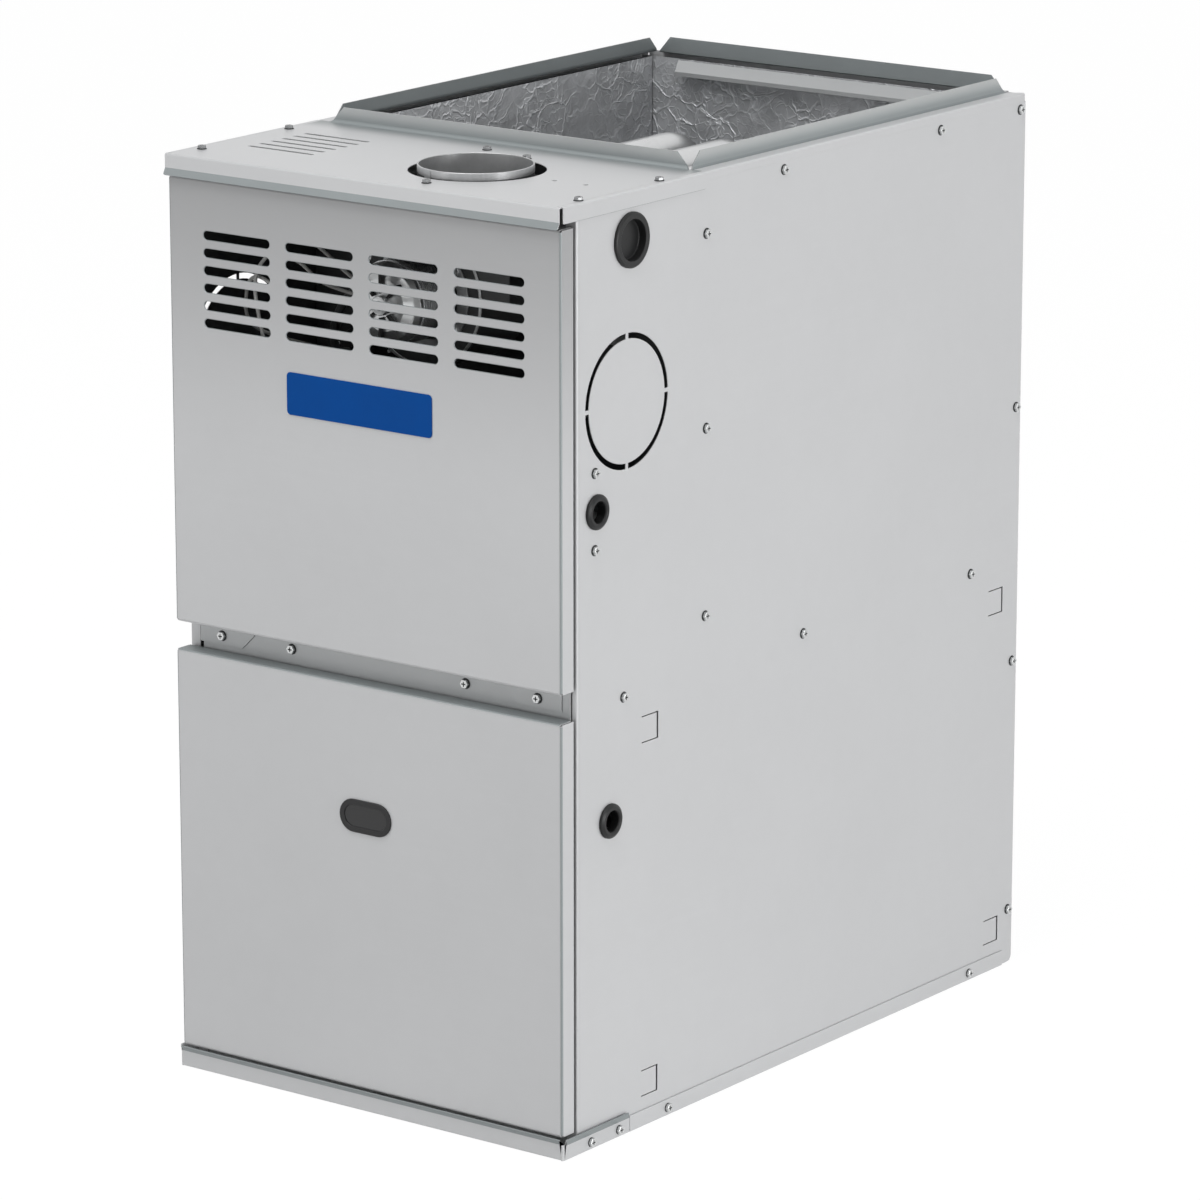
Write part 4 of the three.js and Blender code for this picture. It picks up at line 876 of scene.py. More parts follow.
def vent_switch():
    """The pressure switch: a dished two-part body with a bead round it and a hose port."""
    x, z, radius = -150.0, 662.0, 33.0
    back = edges("pressure_switch")[1][1]
    section = [(0.3, back - 26), (20, back - 26), (20, back - 18), (radius, back - 15),
               (radius, back - 5), (radius - 9, back - 2), (radius - 9, back), (0.3, back)]
    shells = [lathe("y", (x, z), section, [0.05, 1.5, 2, 1.2, 1.2, 1, 0.3, 0.05], sides=72),
              ring("y", (x, z), (2.0, 3.4), (back - 38, back - 25), [0.3, 0.5, 0.3, 0.1], 24)]
    places = (back - 16.2, back - 14)
    return shells + [ring("y", place, (0.2, 1.9), places, [0.05, 0.4, 0.1, 0.05], 14, finish=1)
                     for place in round_places(x, z, radius - 3.2, 6)]


def draught_housing():
    """The inducer's front: raised scroll bead, gasket ring and screws on the CAD housing."""
    front = DRAUGHT_FRONT
    return [ring("y", DRAUGHT_CENTRE, (64, 67), (front - 0.9, front + 0.2), [0.4, 0.4, 0.1, 0.1], 96),
            ring("y", DRAUGHT_CENTRE, (40, 52), (front - 1.4, front + 0.2), [0.5, 0.5, 0.1, 0.1], 72),
            *screws("y", -1, round_places(*DRAUGHT_CENTRE, 46, 5, 0.6), front - 1.3, 6.4, 8.4, 3)]


def draught_motor():
    """The inducer motor: a laminated stack between two end bells, with a small cooling fan."""
    front = DRAUGHT_FRONT - 0.4
    section = [(4.4, 25), (9, 25), (9, 30.2), (24, 30.2), (34, 33), (38, 38), (38, 76), (34, 80),
               (12, 80), (12, front), (4.4, front)]
    shells = [lathe("y", DRAUGHT_CENTRE, section, [0.3, 1, 0.4, 2, 3, 2, 2, 2, 0.6, 0.4, 0.3], sides=80)]
    for low in 42.0 + 2.4 * np.arange(13):
        rims = [0.05, 0.3, 0.3, 0.05]
        shells.append(ring("y", DRAUGHT_CENTRE, (37.6, 38.9), (low, low + 1.3), rims, 72))
    blade = np.array([(-1.0, 11.0), (1.0, 11.0), (1.6, 29.0), (-1.0, 29.0)])
    for cosine, sine in unit(math.pi * np.arange(8) / 4):
        turned_blade = blade @ np.array([(cosine, sine), (-sine, cosine)]) + DRAUGHT_CENTRE
        shells.append(carried("y", rounded(turned_blade, 0.3, steps=2), 26, 31.6, 0.2, finish=1))
    return shells


def control_parts():
    """Small parts on the board: capacitors, resistors and a row of pins."""
    random = np.random.default_rng(7)
    face = 52.0
    cans = ((-170, 330, 6, 14), (-150, 326, 5, 12), (-130, 332, 5, 11), (-104, 300, 6, 14))
    shells = [ring("y", (x, z), (0.3, radius), (face - tall, face + 0.2), [0.05, 0.9, 0.1, 0.05], 32)
              for x, z, radius, tall in cans]
    for n in range(18):
        x = -188 + 14 * (n % 6) + random.uniform(-1, 1)
        z = 292 + 10 * (n // 6) + random.uniform(-1, 1)
        shells.append(carried("x", circle(face - 1.6, z, 1.3, 14), x, x + 6.5, 0.5, finish=1))
    pin = rectangle(-82, 33.8, -70, 34.8, 0.2)
    return shells + [carried("z", pin, z, z + 4.6, 0.2, finish=2) for z in range(300, 370, 10)]


def leads():
    """Insulated wires, each a round tube along a smooth curve through a few points."""
    white = [
        [(-128, 60, 395), (-128, 50, 440), (-150, 52, 560), (-128, 46, 700), (-124, 42, 735),
         (-150, 40, 752), (-168, 44, 738), (-172, 60, 700), (-158, 150, 664)],
        [(-122, 62, 395), (-120, 44, 470), (-118, 40, 640), (-126, 36, 770), (-112, 40, 800), (-90, 50, 786),
         (-60, 60, 760), (-39.5, 64, 750)],
        [(-134, 60, 395), (-140, 46, 500), (-136, 38, 650), (-150, 34, 745), (-128, 36, 778),
         (-104, 42, 770), (-84, 52, 752), (-39.5, 66, 740)],
        [(-110, 60, 395), (-100, 50, 430), (-40, 44, 445), (60, 42, 452), (118, 60, 480), (150, 60, 500)],
        [(-104, 62, 395), (-92, 56, 424), (0, 50, 436), (80, 54, 470), (112, 90, 560), (124, 150, 630),
         (125, 182, 640)],
        [(-60, 60, 395), (-30, 58, 440), (-8, 70, 500), (-5, 110, 520), (-5, 124, 528)],
        [(-180, 70, 398), (-200, 80, 430), (-206, 110, 480), (-196, 130, 510)],
    ]
    dark = [
        [(-140, 62, 395), (-160, 56, 450), (-176, 60, 520), (-186, 120, 560)],
        [(-50, 62, 395), (0, 56, 425), (70, 46, 432), (140, 46, 470), (158, 56, 496)],
    ]
    shells = [tube(flowing(path, 10), 1.7, 10) for path in white]
    shells += [tube(flowing(path, 10), 1.5, 10, finish=1) for path in dark]
    return shells


# ---- finishes ------------------------------------------------------------------------------------

SOCKETS = {"colour": "NodeSocketColor", "value": "NodeSocketFloat", "vector": "NodeSocketVector"}


def node_group(name, inputs, outputs):
    """An empty shader group with its sockets, and its input and output nodes."""
    group = bpy.data.node_groups.new(name, "ShaderNodeTree")
    for label, kind, default in inputs:
        made = group.interface.new_socket(label, in_out="INPUT", socket_type=SOCKETS[kind])
        made.default_value = default
    for label, kind in outputs:
        group.interface.new_socket(label, in_out="OUTPUT", socket_type=SOCKETS[kind])
    return group, group.nodes.new("NodeGroupInput"), group.nodes.new("NodeGroupOutput")


def add_node(tree, kind, inputs, **settings):
    """A node of a kind: each input, by its label or number, is set or linked to what is given."""
    made = tree.nodes.new("ShaderNode" + kind)
    for label, value in settings.items():
        setattr(made, label, value)
    for label, value in inputs.items():
        if isinstance(value, bpy.types.NodeSocket):
            tree.links.new(value, made.inputs[label])
        else:
            made.inputs[label].default_value = value
    return made


def own_place(tree):
    """Where a point is, in its object's own measure."""
    return add_node(tree, "TexCoord", {}).outputs["Object"]


def noise(tree, vector, scale, detail=3.0, roughness=0.55):
    """A noise's value, between nought and one."""
    inputs = {"Vector": vector, "Scale": scale, "Detail": detail, "Roughness": roughness}
    return add_node(tree, "TexNoise", inputs).outputs["Fac"]


def maths(tree, operation, first, second):
    """One sum of two numbers."""
    return add_node(tree, "Math", {0: first, 1: second}, operation=operation).outputs[0]


def product(tree, first, second, third):
    """Three numbers multiplied."""
    return maths(tree, "MULTIPLY", maths(tree, "MULTIPLY", first, second), third)


def ranged(tree, value, low, high, to_low, to_high):
    """Maps one range onto another and holds at its ends."""
    inputs = {"Value": value, "From Min": low, "From Max": high, "To Min": to_low, "To Max": to_high}
    return add_node(tree, "MapRange", inputs).outputs["Result"]


def mixed(tree, factor, first, second):
    """One colour passing into another as a factor goes from nought to one."""
    return add_node(tree, "Mix", {0: factor, 6: first, 7: second}, data_type="RGBA").outputs[2]


def brightened(tree, colour, share):
    """A colour times a share."""
    return add_node(tree, "VectorMath", {0: colour, "Scale": share}, operation="SCALE").outputs["Vector"]


def stretched(tree, start):
    """An object's own places times the stretch that a group is given."""
    inputs = {0: own_place(tree), 1: start.outputs["Stretch"]}
    return add_node(tree, "VectorMath", inputs, operation="MULTIPLY").outputs["Vector"]


def bumped(tree, height, strength, distance):
    """A bump of a height."""
    return add_node(tree, "Bump", {"Height": height, "Strength": strength, "Distance": distance})


def make_cloud_group():
    """Cloudy sheet: a broad noise and a fine one shade a colour between a dark and a light share."""
    group, start, end = node_group(
        "cloudy sheet",
        [("Colour", "colour", (0.6, 0.6, 0.6, 1)), ("Amount", "value", 0.06), ("Size", "value", 6.0)],
        [("Colour", "colour"), ("Roughness shift", "value")])
    place, size = own_place(group), start.outputs["Size"]
    broad = noise(group, place, size, 4.0, 0.6)
    fine = noise(group, place, maths(group, "MULTIPLY", size, 11.0), 2.0, 0.5)
    blend = maths(group, "ADD", maths(group, "MULTIPLY", broad, 0.75), maths(group, "MULTIPLY", fine, 0.25))
    centred = maths(group, "MULTIPLY", maths(group, "SUBTRACT", blend, 0.5), 2.0)
    shade = maths(group, "ADD", maths(group, "MULTIPLY", centred, start.outputs["Amount"]), 1.0)
    group.links.new(brightened(group, start.outputs["Colour"], shade), end.inputs["Colour"])
    group.links.new(maths(group, "MULTIPLY", centred, 0.12), end.inputs["Roughness shift"])


def make_grain_group():
    """Surface grain: noise stretched along chosen axes, as a height."""
    group, start, end = node_group(
        "surface grain", [("Stretch", "vector", (900.0, 900.0, 900.0)), ("Softness", "value", 2.0)],
        [("Height", "value")])
    group.links.new(noise(group, stretched(group, start), 1.0, start.outputs["Softness"], 0.5),
                    end.inputs["Height"])


def make_dust_group():
    """Dust: more where a face looks up and where a broad noise is high."""
    group, start, end = node_group("settled dust", [("Amount", "value", 0.3)], [("Mask", "value")])
    split = add_node(group, "SeparateXYZ", {0: add_node(group, "NewGeometry", {}).outputs["Normal"]})
    patch = ranged(group, noise(group, own_place(group), 9.0, 5.0), 0.42, 0.68, 0.0, 1.0)
    upward = ranged(group, split.outputs["Z"], 0.2, 0.95, 0.15, 1.0)
    group.links.new(product(group, patch, upward, start.outputs["Amount"]), end.inputs["Mask"])


def make_smudge_group():
    """Rub marks: thin stretched streaks kept where a broad noise is high."""
    group, start, end = node_group(
        "rub marks", [("Stretch", "vector", (4.0, 4.0, 60.0)), ("Amount", "value", 0.2)],
        [("Mask", "value")])
    streak = ranged(group, noise(group, stretched(group, start), 2.0, 5.0, 0.7), 0.5, 0.78, 0.0, 1.0)
    patch = ranged(group, noise(group, own_place(group), 3.5, 2.0), 0.45, 0.65, 0.0, 1.0)
    group.links.new(product(group, streak, patch, start.outputs["Amount"]), end.inputs["Mask"])


def placed_group(tree, name, inputs):
    """A node that holds one of the groups."""
    return add_node(tree, "Group", inputs, node_tree=bpy.data.node_groups[name])


def finish(name, colour, roughness, metallic, cloud, cloud_size, grain, grain_height, dust, rub,
           rub_stretch=(4.0, 4.0, 60.0), rub_colour=None, specular=0.5, painted_shade_fade=None):
    """One material: a clouded colour with rub marks and dust, uneven roughness and a grain bump.

    A grain is one number or one for each axis, and its height is in millimetres. A painted_shade_fade
    is (axis, start, end, colour): a colour painted in as shade, coming in along an axis as
    s * s * (3 - 2 * s).
    """
    material = bpy.data.materials.new("furnace_" + name)
    FINISHES[name] = material
    material.use_nodes = True
    tree = material.node_tree
    shader = tree.nodes["Principled BSDF"]
    shader.inputs["Metallic"].default_value = metallic
    shader.inputs["Specular IOR Level"].default_value = specular
    cloudy = placed_group(tree, "cloudy sheet", {"Colour": (*colour, 1.0), "Amount": cloud,
                                                 "Size": cloud_size})
    rubbed = placed_group(tree, "rub marks", {"Stretch": rub_stretch, "Amount": rub}).outputs["Mask"]
    dusty = placed_group(tree, "settled dust", {"Amount": dust}).outputs["Mask"]
    shown = cloudy.outputs["Colour"]
    # Painted shade: a colour mixed in along one axis of the object's own places.
    if painted_shade_fade:
        axis, start, end, other = painted_shade_fade
        split = add_node(tree, "SeparateXYZ", {0: own_place(tree)})
        share = ranged(tree, split.outputs[axis], start, end, 0.0, 1.0)
        bent = maths(tree, "SUBTRACT", 3.0, maths(tree, "MULTIPLY", share, 2.0))
        shown = mixed(tree, product(tree, share, share, bent), shown, (*other, 1.0))
    mark = rub_colour or tuple(min(1.0, c * 1.25 + 0.02) for c in colour)
    pale = tuple(0.6 * c + 0.4 * 0.55 for c in colour)
    shown = mixed(tree, dusty, mixed(tree, rubbed, shown, (*mark, 1.0)), (*pale, 1.0))
    tree.links.new(shown, shader.inputs["Base Color"])
    level = maths(tree, "ADD", cloudy.outputs["Roughness shift"], roughness)
    level = maths(tree, "ADD", level, maths(tree, "MULTIPLY", dusty, 0.3))
    level = maths(tree, "SUBTRACT", level, maths(tree, "MULTIPLY", rubbed, 0.15))
    held = add_node(tree, "Clamp", {"Value": level, "Min": 0.08, "Max": 1.0})
    tree.links.new(held.outputs["Result"], shader.inputs["Roughness"])
    stretch = grain if isinstance(grain, tuple) else (grain, grain, grain)
    grained = placed_group(tree, "surface grain", {"Stretch": stretch, "Softness": 2.0})
    bump = bumped(tree, grained.outputs["Height"], 0.6, grain_height * MM)
    tree.links.new(bump.outputs["Normal"], shader.inputs["Normal"])
    return material


def crinkle_foil(material):
    """Small branching wrinkles: the edges of warped cells at two sizes, raised under the grain.

    The colour carries painted light and shade: brighter on the raised edges, with a fine random tone.
    """
    tree = material.node_tree
    grain = next(node for node in tree.nodes if node.type == "BUMP")
    place = own_place(tree)
    warp = add_node(tree, "TexNoise", {"Vector": place, "Scale": 40.0}).outputs["Color"]
    moved = add_node(tree, "VectorMath", {0: warp, 1: (0.03, 0.03, 0.03), 2: place},
                     operation="MULTIPLY_ADD").outputs["Vector"]
    large, small = (
        ranged(tree, add_node(tree, "TexVoronoi", {"Vector": moved, "Scale": scale},
                              feature="DISTANCE_TO_EDGE").outputs["Distance"], 0.0, 0.07, 1.0, 0.0)
        for scale in (42.0, 105.0))
    both = maths(tree, "ADD", large, maths(tree, "MULTIPLY", small, 0.45))
    patches = ranged(tree, noise(tree, place, 11.0, 3.0), 0.34, 0.56, 0.0, 1.0)
    height = maths(tree, "MULTIPLY", both, patches)
    wrinkles = bumped(tree, height, 0.9, 0.0009)
    base = tree.nodes["Principled BSDF"].inputs["Base Color"]
    soft = noise(tree, moved, 60.0, 6.0, 0.7)
    # Painted light and shade on the wrinkles, mixed with a fine random tone.
    shade = maths(tree, "ADD", maths(tree, "MULTIPLY", height, 0.30), maths(tree, "MULTIPLY", soft, 0.7))
    lit = ranged(tree, shade, 0.15, 0.85, 0.80, 1.45)
    tree.links.new(brightened(tree, base.links[0].from_socket, lit), base)
    tree.links.new(wrinkles.outputs["Normal"], grain.inputs["Normal"])


def make_finishes():
    """Every finish: its colour, roughness, metal, clouds and their size, grain, dust and rub marks."""
    colours = bpy.context.scene.furnace_colours
    paint, zinc_painted_shade, foil, plate = (np.array(c) for c in (colours.paint, colours.zinc_painted_shade, colours.foil,
                                                      colours.plate))
    for maker in (make_cloud_group, make_grain_group, make_dust_group, make_smudge_group):
        maker()
    upright, across = (700.0, 700.0, 18.0), (18.0, 700.0, 700.0)
    rows = {
        "cabinet_paint": (paint, 0.40, 0.18, 0.05, 5.0, 420.0, 0.03, 0.10, 0.05),
        "top_paint_painted_reflection": (paint, 0.38, 0.18, 0.05, 5.0, 420.0, 0.03, 0.10, 0.05),
        # Dull grey metal with painted shade, darker towards the flange roots.
        "edge_zinc_painted_shade": (1.25 * zinc_painted_shade, 0.42, 0.25, 0.08, 10.0, 300.0, 0.03, 0.05, 0.1),
        "door_paint_painted_shade": (paint, 0.40, 0.18, 0.05, 5.0, 420.0, 0.03, 0.10, 0.05),
        "strip_zinc": ((0.43, 0.44, 0.445), 0.40, 0.3, 0.08, 10.0, across, 0.03, 0.05, 0.1),
        # Near-black painted shade for insides, undersides and gaps.
        "inner_painted_shade": ((0.085, 0.088, 0.09), 0.5, 0.3, 0.25, 20.0, 300.0, 0.03, 0.1, 0.1),
        "shadow_zinc": (1.15 * zinc_painted_shade, 0.5, 0.35, 0.10, 14.0, 300.0, 0.03, 0.05, 0.1),
        "galvanised": ((0.50, 0.515, 0.515), 0.42, 0.75, 0.22, 42.0, 300.0, 0.02, 0.3, 0.2),
        "foil": (foil, 0.36, 0.35, 0.18, 26.0, 300.0, 0.2, 0.1, 0.15),
        "tube_steel": ((0.66, 0.665, 0.67), 0.30, 0.8, 0.16, 18.0, (350.0, 60.0, 350.0), 0.03, 0.1, 0.3),
        "bright_steel": ((0.64, 0.65, 0.655), 0.30, 0.9, 0.10, 14.0, upright, 0.03, 0.1, 0.35),
        "collar_steel": ((0.46, 0.465, 0.47), 0.38, 0.7, 0.35, 22.0, upright, 0.04, 0.05, 0.7),
        "top_screw": ((0.26, 0.265, 0.27), 0.36, 0.7, 0.2, 160.0, across, 0.02, 0.1, 0.1),
        "washer_painted_shadow": ((0.03, 0.032, 0.033), 0.5, 0.0, 0.3, 160.0, across, 0.03, 0.0, 0.1),
        "black_rubber": ((0.012, 0.0125, 0.013), 0.40, 0.0, 0.25, 40.0, 900.0, 0.04, 0.05, 0.1),
        "black_plastic": ((0.018, 0.018, 0.019), 0.38, 0.0, 0.2, 40.0, 1100.0, 0.04, 0.05, 0.1),
        "dark_glass": ((0.012, 0.012, 0.013), 0.16, 0.0, 0.1, 30.0, 500.0, 0.01, 0.1, 0.1),
        "dark_metal": ((0.05, 0.052, 0.055), 0.45, 0.3, 0.2, 25.0, 500.0, 0.04, 0.3, 0.2),
        "cast_aluminium": ((0.48, 0.485, 0.49), 0.48, 0.8, 0.16, 60.0, 420.0, 0.18, 0.3, 0.2),
        "brass": ((0.52, 0.37, 0.14), 0.32, 0.95, 0.15, 60.0, 900.0, 0.02, 0.2, 0.2),
        "blue_plate": (plate, 0.42, 0.0, 0.10, 40.0, 1400.0, 0.02, 0.0, 0.10),
        "board_green": ((0.014, 0.12, 0.045), 0.35, 0.0, 0.2, 60.0, 900.0, 0.03, 0.25, 0.15),
        "ceramic": ((0.74, 0.70, 0.62), 0.6, 0.0, 0.08, 60.0, 900.0, 0.05, 0.15, 0.1),
        "grey_rubber": ((0.13, 0.135, 0.14), 0.6, 0.0, 0.15, 60.0, 900.0, 0.04, 0.2, 0.1),
        "white_wire": ((0.74, 0.74, 0.72), 0.42, 0.0, 0.05, 40.0, 900.0, 0.02, 0.15, 0.05),
        "screw_zinc": ((0.60, 0.61, 0.61), 0.28, 0.9, 0.10, 160.0, across, 0.02, 0.1, 0.1),
    }
    extras = {
        # The top plate takes a painted dark reflection near the front of the duct flange.
        "top_paint_painted_reflection": {"painted_shade_fade": (1, FACE_Y + 0.176, FACE_Y + 0.214, zinc_painted_shade)},
        "edge_zinc_painted_shade": {"painted_shade_fade": (2, 0.8655, 0.8775, (0.46, 0.475, 0.475))},
        # The upper door darkens towards its top: painted shade under the top lip.
        "door_paint_painted_shade": {"painted_shade_fade": (2, 0.58, 0.86, 0.64 * paint)},
        # The tubes darken where they turn at the back: painted shade.
        "tube_steel": {"rub_stretch": (40.0, 2.0, 40.0),
                       "painted_shade_fade": (1, FACE_Y + 0.585, FACE_Y + 0.625, (0.14, 0.14, 0.145))},
        "bright_steel": {"rub_stretch": (40.0, 40.0, 3.0)},
        "collar_steel": {"rub_stretch": (60.0, 60.0, 3.0), "rub_colour": (0.62, 0.63, 0.64)},
        "washer_painted_shadow": {"specular": 0.2},
        "black_rubber": {"rub_colour": (0.04, 0.04, 0.04), "specular": 0.3},
        "black_plastic": {"rub_colour": (0.05, 0.05, 0.05), "specular": 0.3},
        "dark_glass": {"rub_colour": (0.05, 0.05, 0.05)},
        "dark_metal": {"rub_colour": (0.16, 0.16, 0.16)},
        "blue_plate": {"rub_stretch": (60.0, 4.0, 60.0), "rub_colour": (0.01, 0.11, 0.42), "specular": 0.08},
    }
    for name, row in rows.items():
        finish(name, *row, **extras.get(name, {}))
    crinkle_foil(FINISHES["foil"])


# The vestibule panel and the inducer housing take painted shade for the dark burner compartment.
SOFT_EDGES = {
    "base_pan": ("galvanised", 0.25), "vestibule_panel": ("inner_painted_shade", 0.25),
    "left_latch_tab": ("strip_zinc", 0.18), "right_latch_tab": ("strip_zinc", 0.18),
    "rear_deflector": ("strip_zinc", 0.2), "collector_box": ("galvanised", 0.35),
    "inducer_housing": ("inner_painted_shade", 0.5), "inducer_wheel": ("galvanised", 0.3),
    "burner_box": ("galvanised", 0.25), "gas_valve": ("cast_aluminium", 1.2),
    "gas_valve_knob": ("black_plastic", 0.6), "hot_surface_igniter": ("ceramic", 0.5),
    "flame_sensor": ("ceramic", 0.3), "limit_switch": ("black_plastic", 0.3),
    "rollout_switch": ("black_plastic", 0.3), "rollout_reset_button": ("brass", 0.25),
    "pressure_hose": ("grey_rubber", 0.1), "junction_box": ("galvanised", 0.35),
    "control_panel": ("galvanised", 0.3), "control_board": ("board_green", 0.3),
    "transformer": ("dark_metal", 0.8), "door_switch": ("black_plastic", 0.5),
    "door_switch_plunger": ("ceramic", 0.2), "blower_housing": ("galvanised", 0.3),
    "motor_mount": ("galvanised", 0.3), "left_base_rail": ("cabinet_paint", 0.3),
    "right_base_rail": ("cabinet_paint", 0.3),
}


# ---- settings, operators and panel -----------------------------------------------------------------


def length_setting(name, description, default, low, high):
    """A length in metres that the panel shows."""
    return bpy.props.FloatProperty(
        name=name, description=description, default=default, min=low, max=high, unit="LENGTH", precision=4)


class FurnaceSizes(bpy.types.PropertyGroup):
    casing_bend: length_setting("Casing bend", "Outer radius of the bends in the casing",
                                0.0018, 0.0011, 0.003)
    door_bend: length_setting("Door bend", "Outer radius of the bends round a door", 0.0020, 0.0011, 0.003)
    louvre_rim: length_setting("Louvre rim", "Radius rolled round the front of each louvre",
                               0.0009, 0.0002, 0.0009)
    screw_across: length_setting("Screw head", "Width of a screw head across its flats",
                                 0.0076, 0.005, 0.009)
    washer: length_setting("Screw washer", "Width of the washer under a screw head", 0.0100, 0.007, 0.012)


def colour_setting(name, description, default):
    """A colour that the panel shows."""
    return bpy.props.FloatVectorProperty(
        name=name, description=description, default=default, size=3, min=0.0, max=1.0, subtype="COLOR")


class FurnaceColours(bpy.types.PropertyGroup):
    paint: colour_setting("Casing", "Finish of the casing and doors", (0.60, 0.606, 0.615))
    # The turned-edge colour is dull metal darkened to paint the shade on flange roots, bends, rims and the
    # lower door's ledge.
    zinc_painted_shade: colour_setting("Turned edges", "Dull zinc on turned edges", (0.235, 0.257, 0.262))
    foil: colour_setting("Foil", "Foil facing of the insulation", (0.52, 0.53, 0.545))
    plate: colour_setting("Plate", "Bare plate on the upper door", (0.0, 0.072, 0.33))


def seen_directly(tree):
    """One for rays from the camera, from mirrors and through glass, and nought for the others."""
    rays = add_node(tree, "LightPath", {}).outputs
    seen = maths(tree, "MAXIMUM", rays["Is Camera Ray"], rays["Is Glossy Ray"])
    return maths(tree, "MAXIMUM", seen, rays["Is Transmission Ray"])


class FURNACE_OT_stage(bpy.types.Operator):
    """Set the camera, the pale floor, the soft lamps and the world"""
    bl_idname = "furnace.stage"
    bl_label = "Stage"

    def execute(self, context):
        scene = context.scene
        lens = bpy.data.cameras.new("camera")
        lens.sensor_width = 36.0
        lens.lens = CAMERA["lens"]
        lens.clip_end = 60.0
        camera = bpy.data.objects.new("camera", lens)
        camera.location = CAMERA["place"]
        camera.rotation_euler = (math.radians(90 - CAMERA["down"]), 0.0, math.radians(CAMERA["turn"]))
        scene.collection.objects.link(camera)
        scene.camera = camera
        scene.view_settings.view_transform = "Standard"
        floor_mesh = bpy.data.meshes.new("floor")
        floor_mesh.from_pydata([(-9, -9, 0), (9, -9, 0), (9, 9, 0), (-9, 9, 0)], [], [(0, 1, 2, 3)])
        floor_mesh.materials.append(self.floor_finish())
        floor = bpy.data.objects.new("floor", floor_mesh)
        floor.location.z = -FLOOR_DROP
        scene.collection.objects.link(floor)
        for lamp in LAMPS:
            self.lamp(*lamp)
        self.world(scene)
        return {"FINISHED"}

    def lamp(self, name, place, aim, size, power):
        """A soft round lamp, turned towards its aim."""
        light = bpy.data.lights.new(name, "AREA")
        light.shape = "DISK"
        light.size = size
        light.energy = power
        lamp = bpy.data.objects.new(name, light)
        lamp.location = place
        x, y, z = np.array(aim) - np.array(place)
        lamp.rotation_euler = (math.atan2(math.hypot(x, y), -z), 0.0, math.atan2(-x, y))
        bpy.context.scene.collection.objects.link(lamp)

    def floor_finish(self):
        """White to the camera and in reflections, with a part of its own light so a shadow stays."""
        material = bpy.data.materials.new("pale_floor")
        material.use_nodes = True
        tree = material.node_tree
        shader = tree.nodes["Principled BSDF"]
        shader.inputs["Base Color"].default_value = (0.62, 0.62, 0.62, 1)
        shader.inputs["Roughness"].default_value = 0.9
        glow = add_node(tree, "Emission", {"Strength": FLOOR_GLOW}).outputs["Emission"]
        share = maths(tree, "MULTIPLY", seen_directly(tree), FLOOR_GLOW_SHARE)
        mix = add_node(tree, "MixShader", {"Fac": share, 1: shader.outputs["BSDF"], 2: glow})
        tree.links.new(mix.outputs["Shader"], tree.nodes["Material Output"].inputs["Surface"])
        return material

    def world(self, scene):
        """A white world, dimmer as a light than it looks."""
        world = bpy.data.worlds.new("studio")
        scene.world = world
        world.use_nodes = True
        tree = world.node_tree
        back = tree.nodes["Background"]
        back.inputs["Color"].default_value = (1, 1, 1, 1)
        strength = ranged(tree, seen_directly(tree), 0.0, 1.0, WORLD_LIGHT, 1.0)
        tree.links.new(strength, back.inputs["Strength"])


class FURNACE_OT_finishes(bpy.types.Operator):
    """Make the finishes and give every frame node its own"""
    bl_idname = "furnace.finishes"
    bl_label = "Finishes"

    def execute(self, context):
        make_finishes()
        for node, (name, width) in SOFT_EDGES.items():
            piece = soften(node, width)
            for slot in piece.material_slots:
                slot.material = FINISHES[name]
        return {"FINISHED"}


class FURNACE_OT_casing(bpy.types.Operator):
    """Make the side panels, top plate, back, toe board and deck"""
    bl_idname = "furnace.casing"
    bl_label = "Casing"

    def execute(self, context):
        sides = ["cabinet_paint", "shadow_zinc", "edge_zinc_painted_shade", "inner_painted_shade"]
        top = ["top_paint_painted_reflection", "shadow_zinc", "edge_zinc_painted_shade", "inner_painted_shade", "cabinet_paint"]
        for name, shells, finishes, node in (
                ("right_wall", side_wall([LINE_HOLE, LOW_HOLE]), sides, "right_side_panel"),
                ("left_wall", mirrored(side_wall([LINE_HOLE])), sides, "left_side_panel"),
                ("top_cover", top_cover(), top, "top_plate"),
                ("back_wall", back_wall(), sides, "back_panel"),
                ("toe_board", toe_board(), sides, "toe_plate")):
            add_piece(name, shells, finishes, replaces=[node])
        add_piece("deck", deck(), ["galvanised", "strip_zinc"], replaces=["blower_deck"])
        return {"FINISHED"}


class FURNACE_OT_doors(bpy.types.Operator):
    """Make the two doors, the oval cover and the bare plate"""
    bl_idname = "furnace.doors"
    bl_label = "Doors"

    def execute(self, context):
        paints = ["door_paint_painted_shade", "shadow_zinc", "edge_zinc_painted_shade"]
        add_piece("louvred_door", door(*UPPER_DOOR, louvre_holes()), paints,
                  "burner_door", ["upper_door"])
        add_piece("plate_blank", plate_blank(), ["blue_plate"], "burner_door", ["nameplate"])
        hole = stadium(*SIGHT_HOLE, 14)
        add_piece("plain_door", door(*LOWER_DOOR, [hole], 1), paints,
                  "blower_door", ["lower_door"])
        add_piece("oval_cover", sight_cover(), ["black_plastic", "dark_glass"],
                  "blower_door", ["sight_window"])
        return {"FINISHED"}


class FURNACE_OT_hole_trim(bpy.types.Operator):
    """Make the grommets and the plugs in the side holes"""
    bl_idname = "furnace.hole_trim"
    bl_label = "Grommets and plugs"

    def execute(self, context):
        for name, shells, node in (
                ("right_plug", hole_plug(), "right_hole_plug"),
                ("left_plug", mirrored(hole_plug()), "left_hole_plug"),
                ("right_ring", grommet(*LINE_HOLE), "right_line_grommet"),
                ("right_low_ring", grommet(*LOW_HOLE), "right_low_grommet"),
                ("left_ring", mirrored(grommet(*LINE_HOLE)), "left_line_grommet")):
            add_piece(name, shells, ["black_rubber"], replaces=[node])
        return {"FINISHED"}


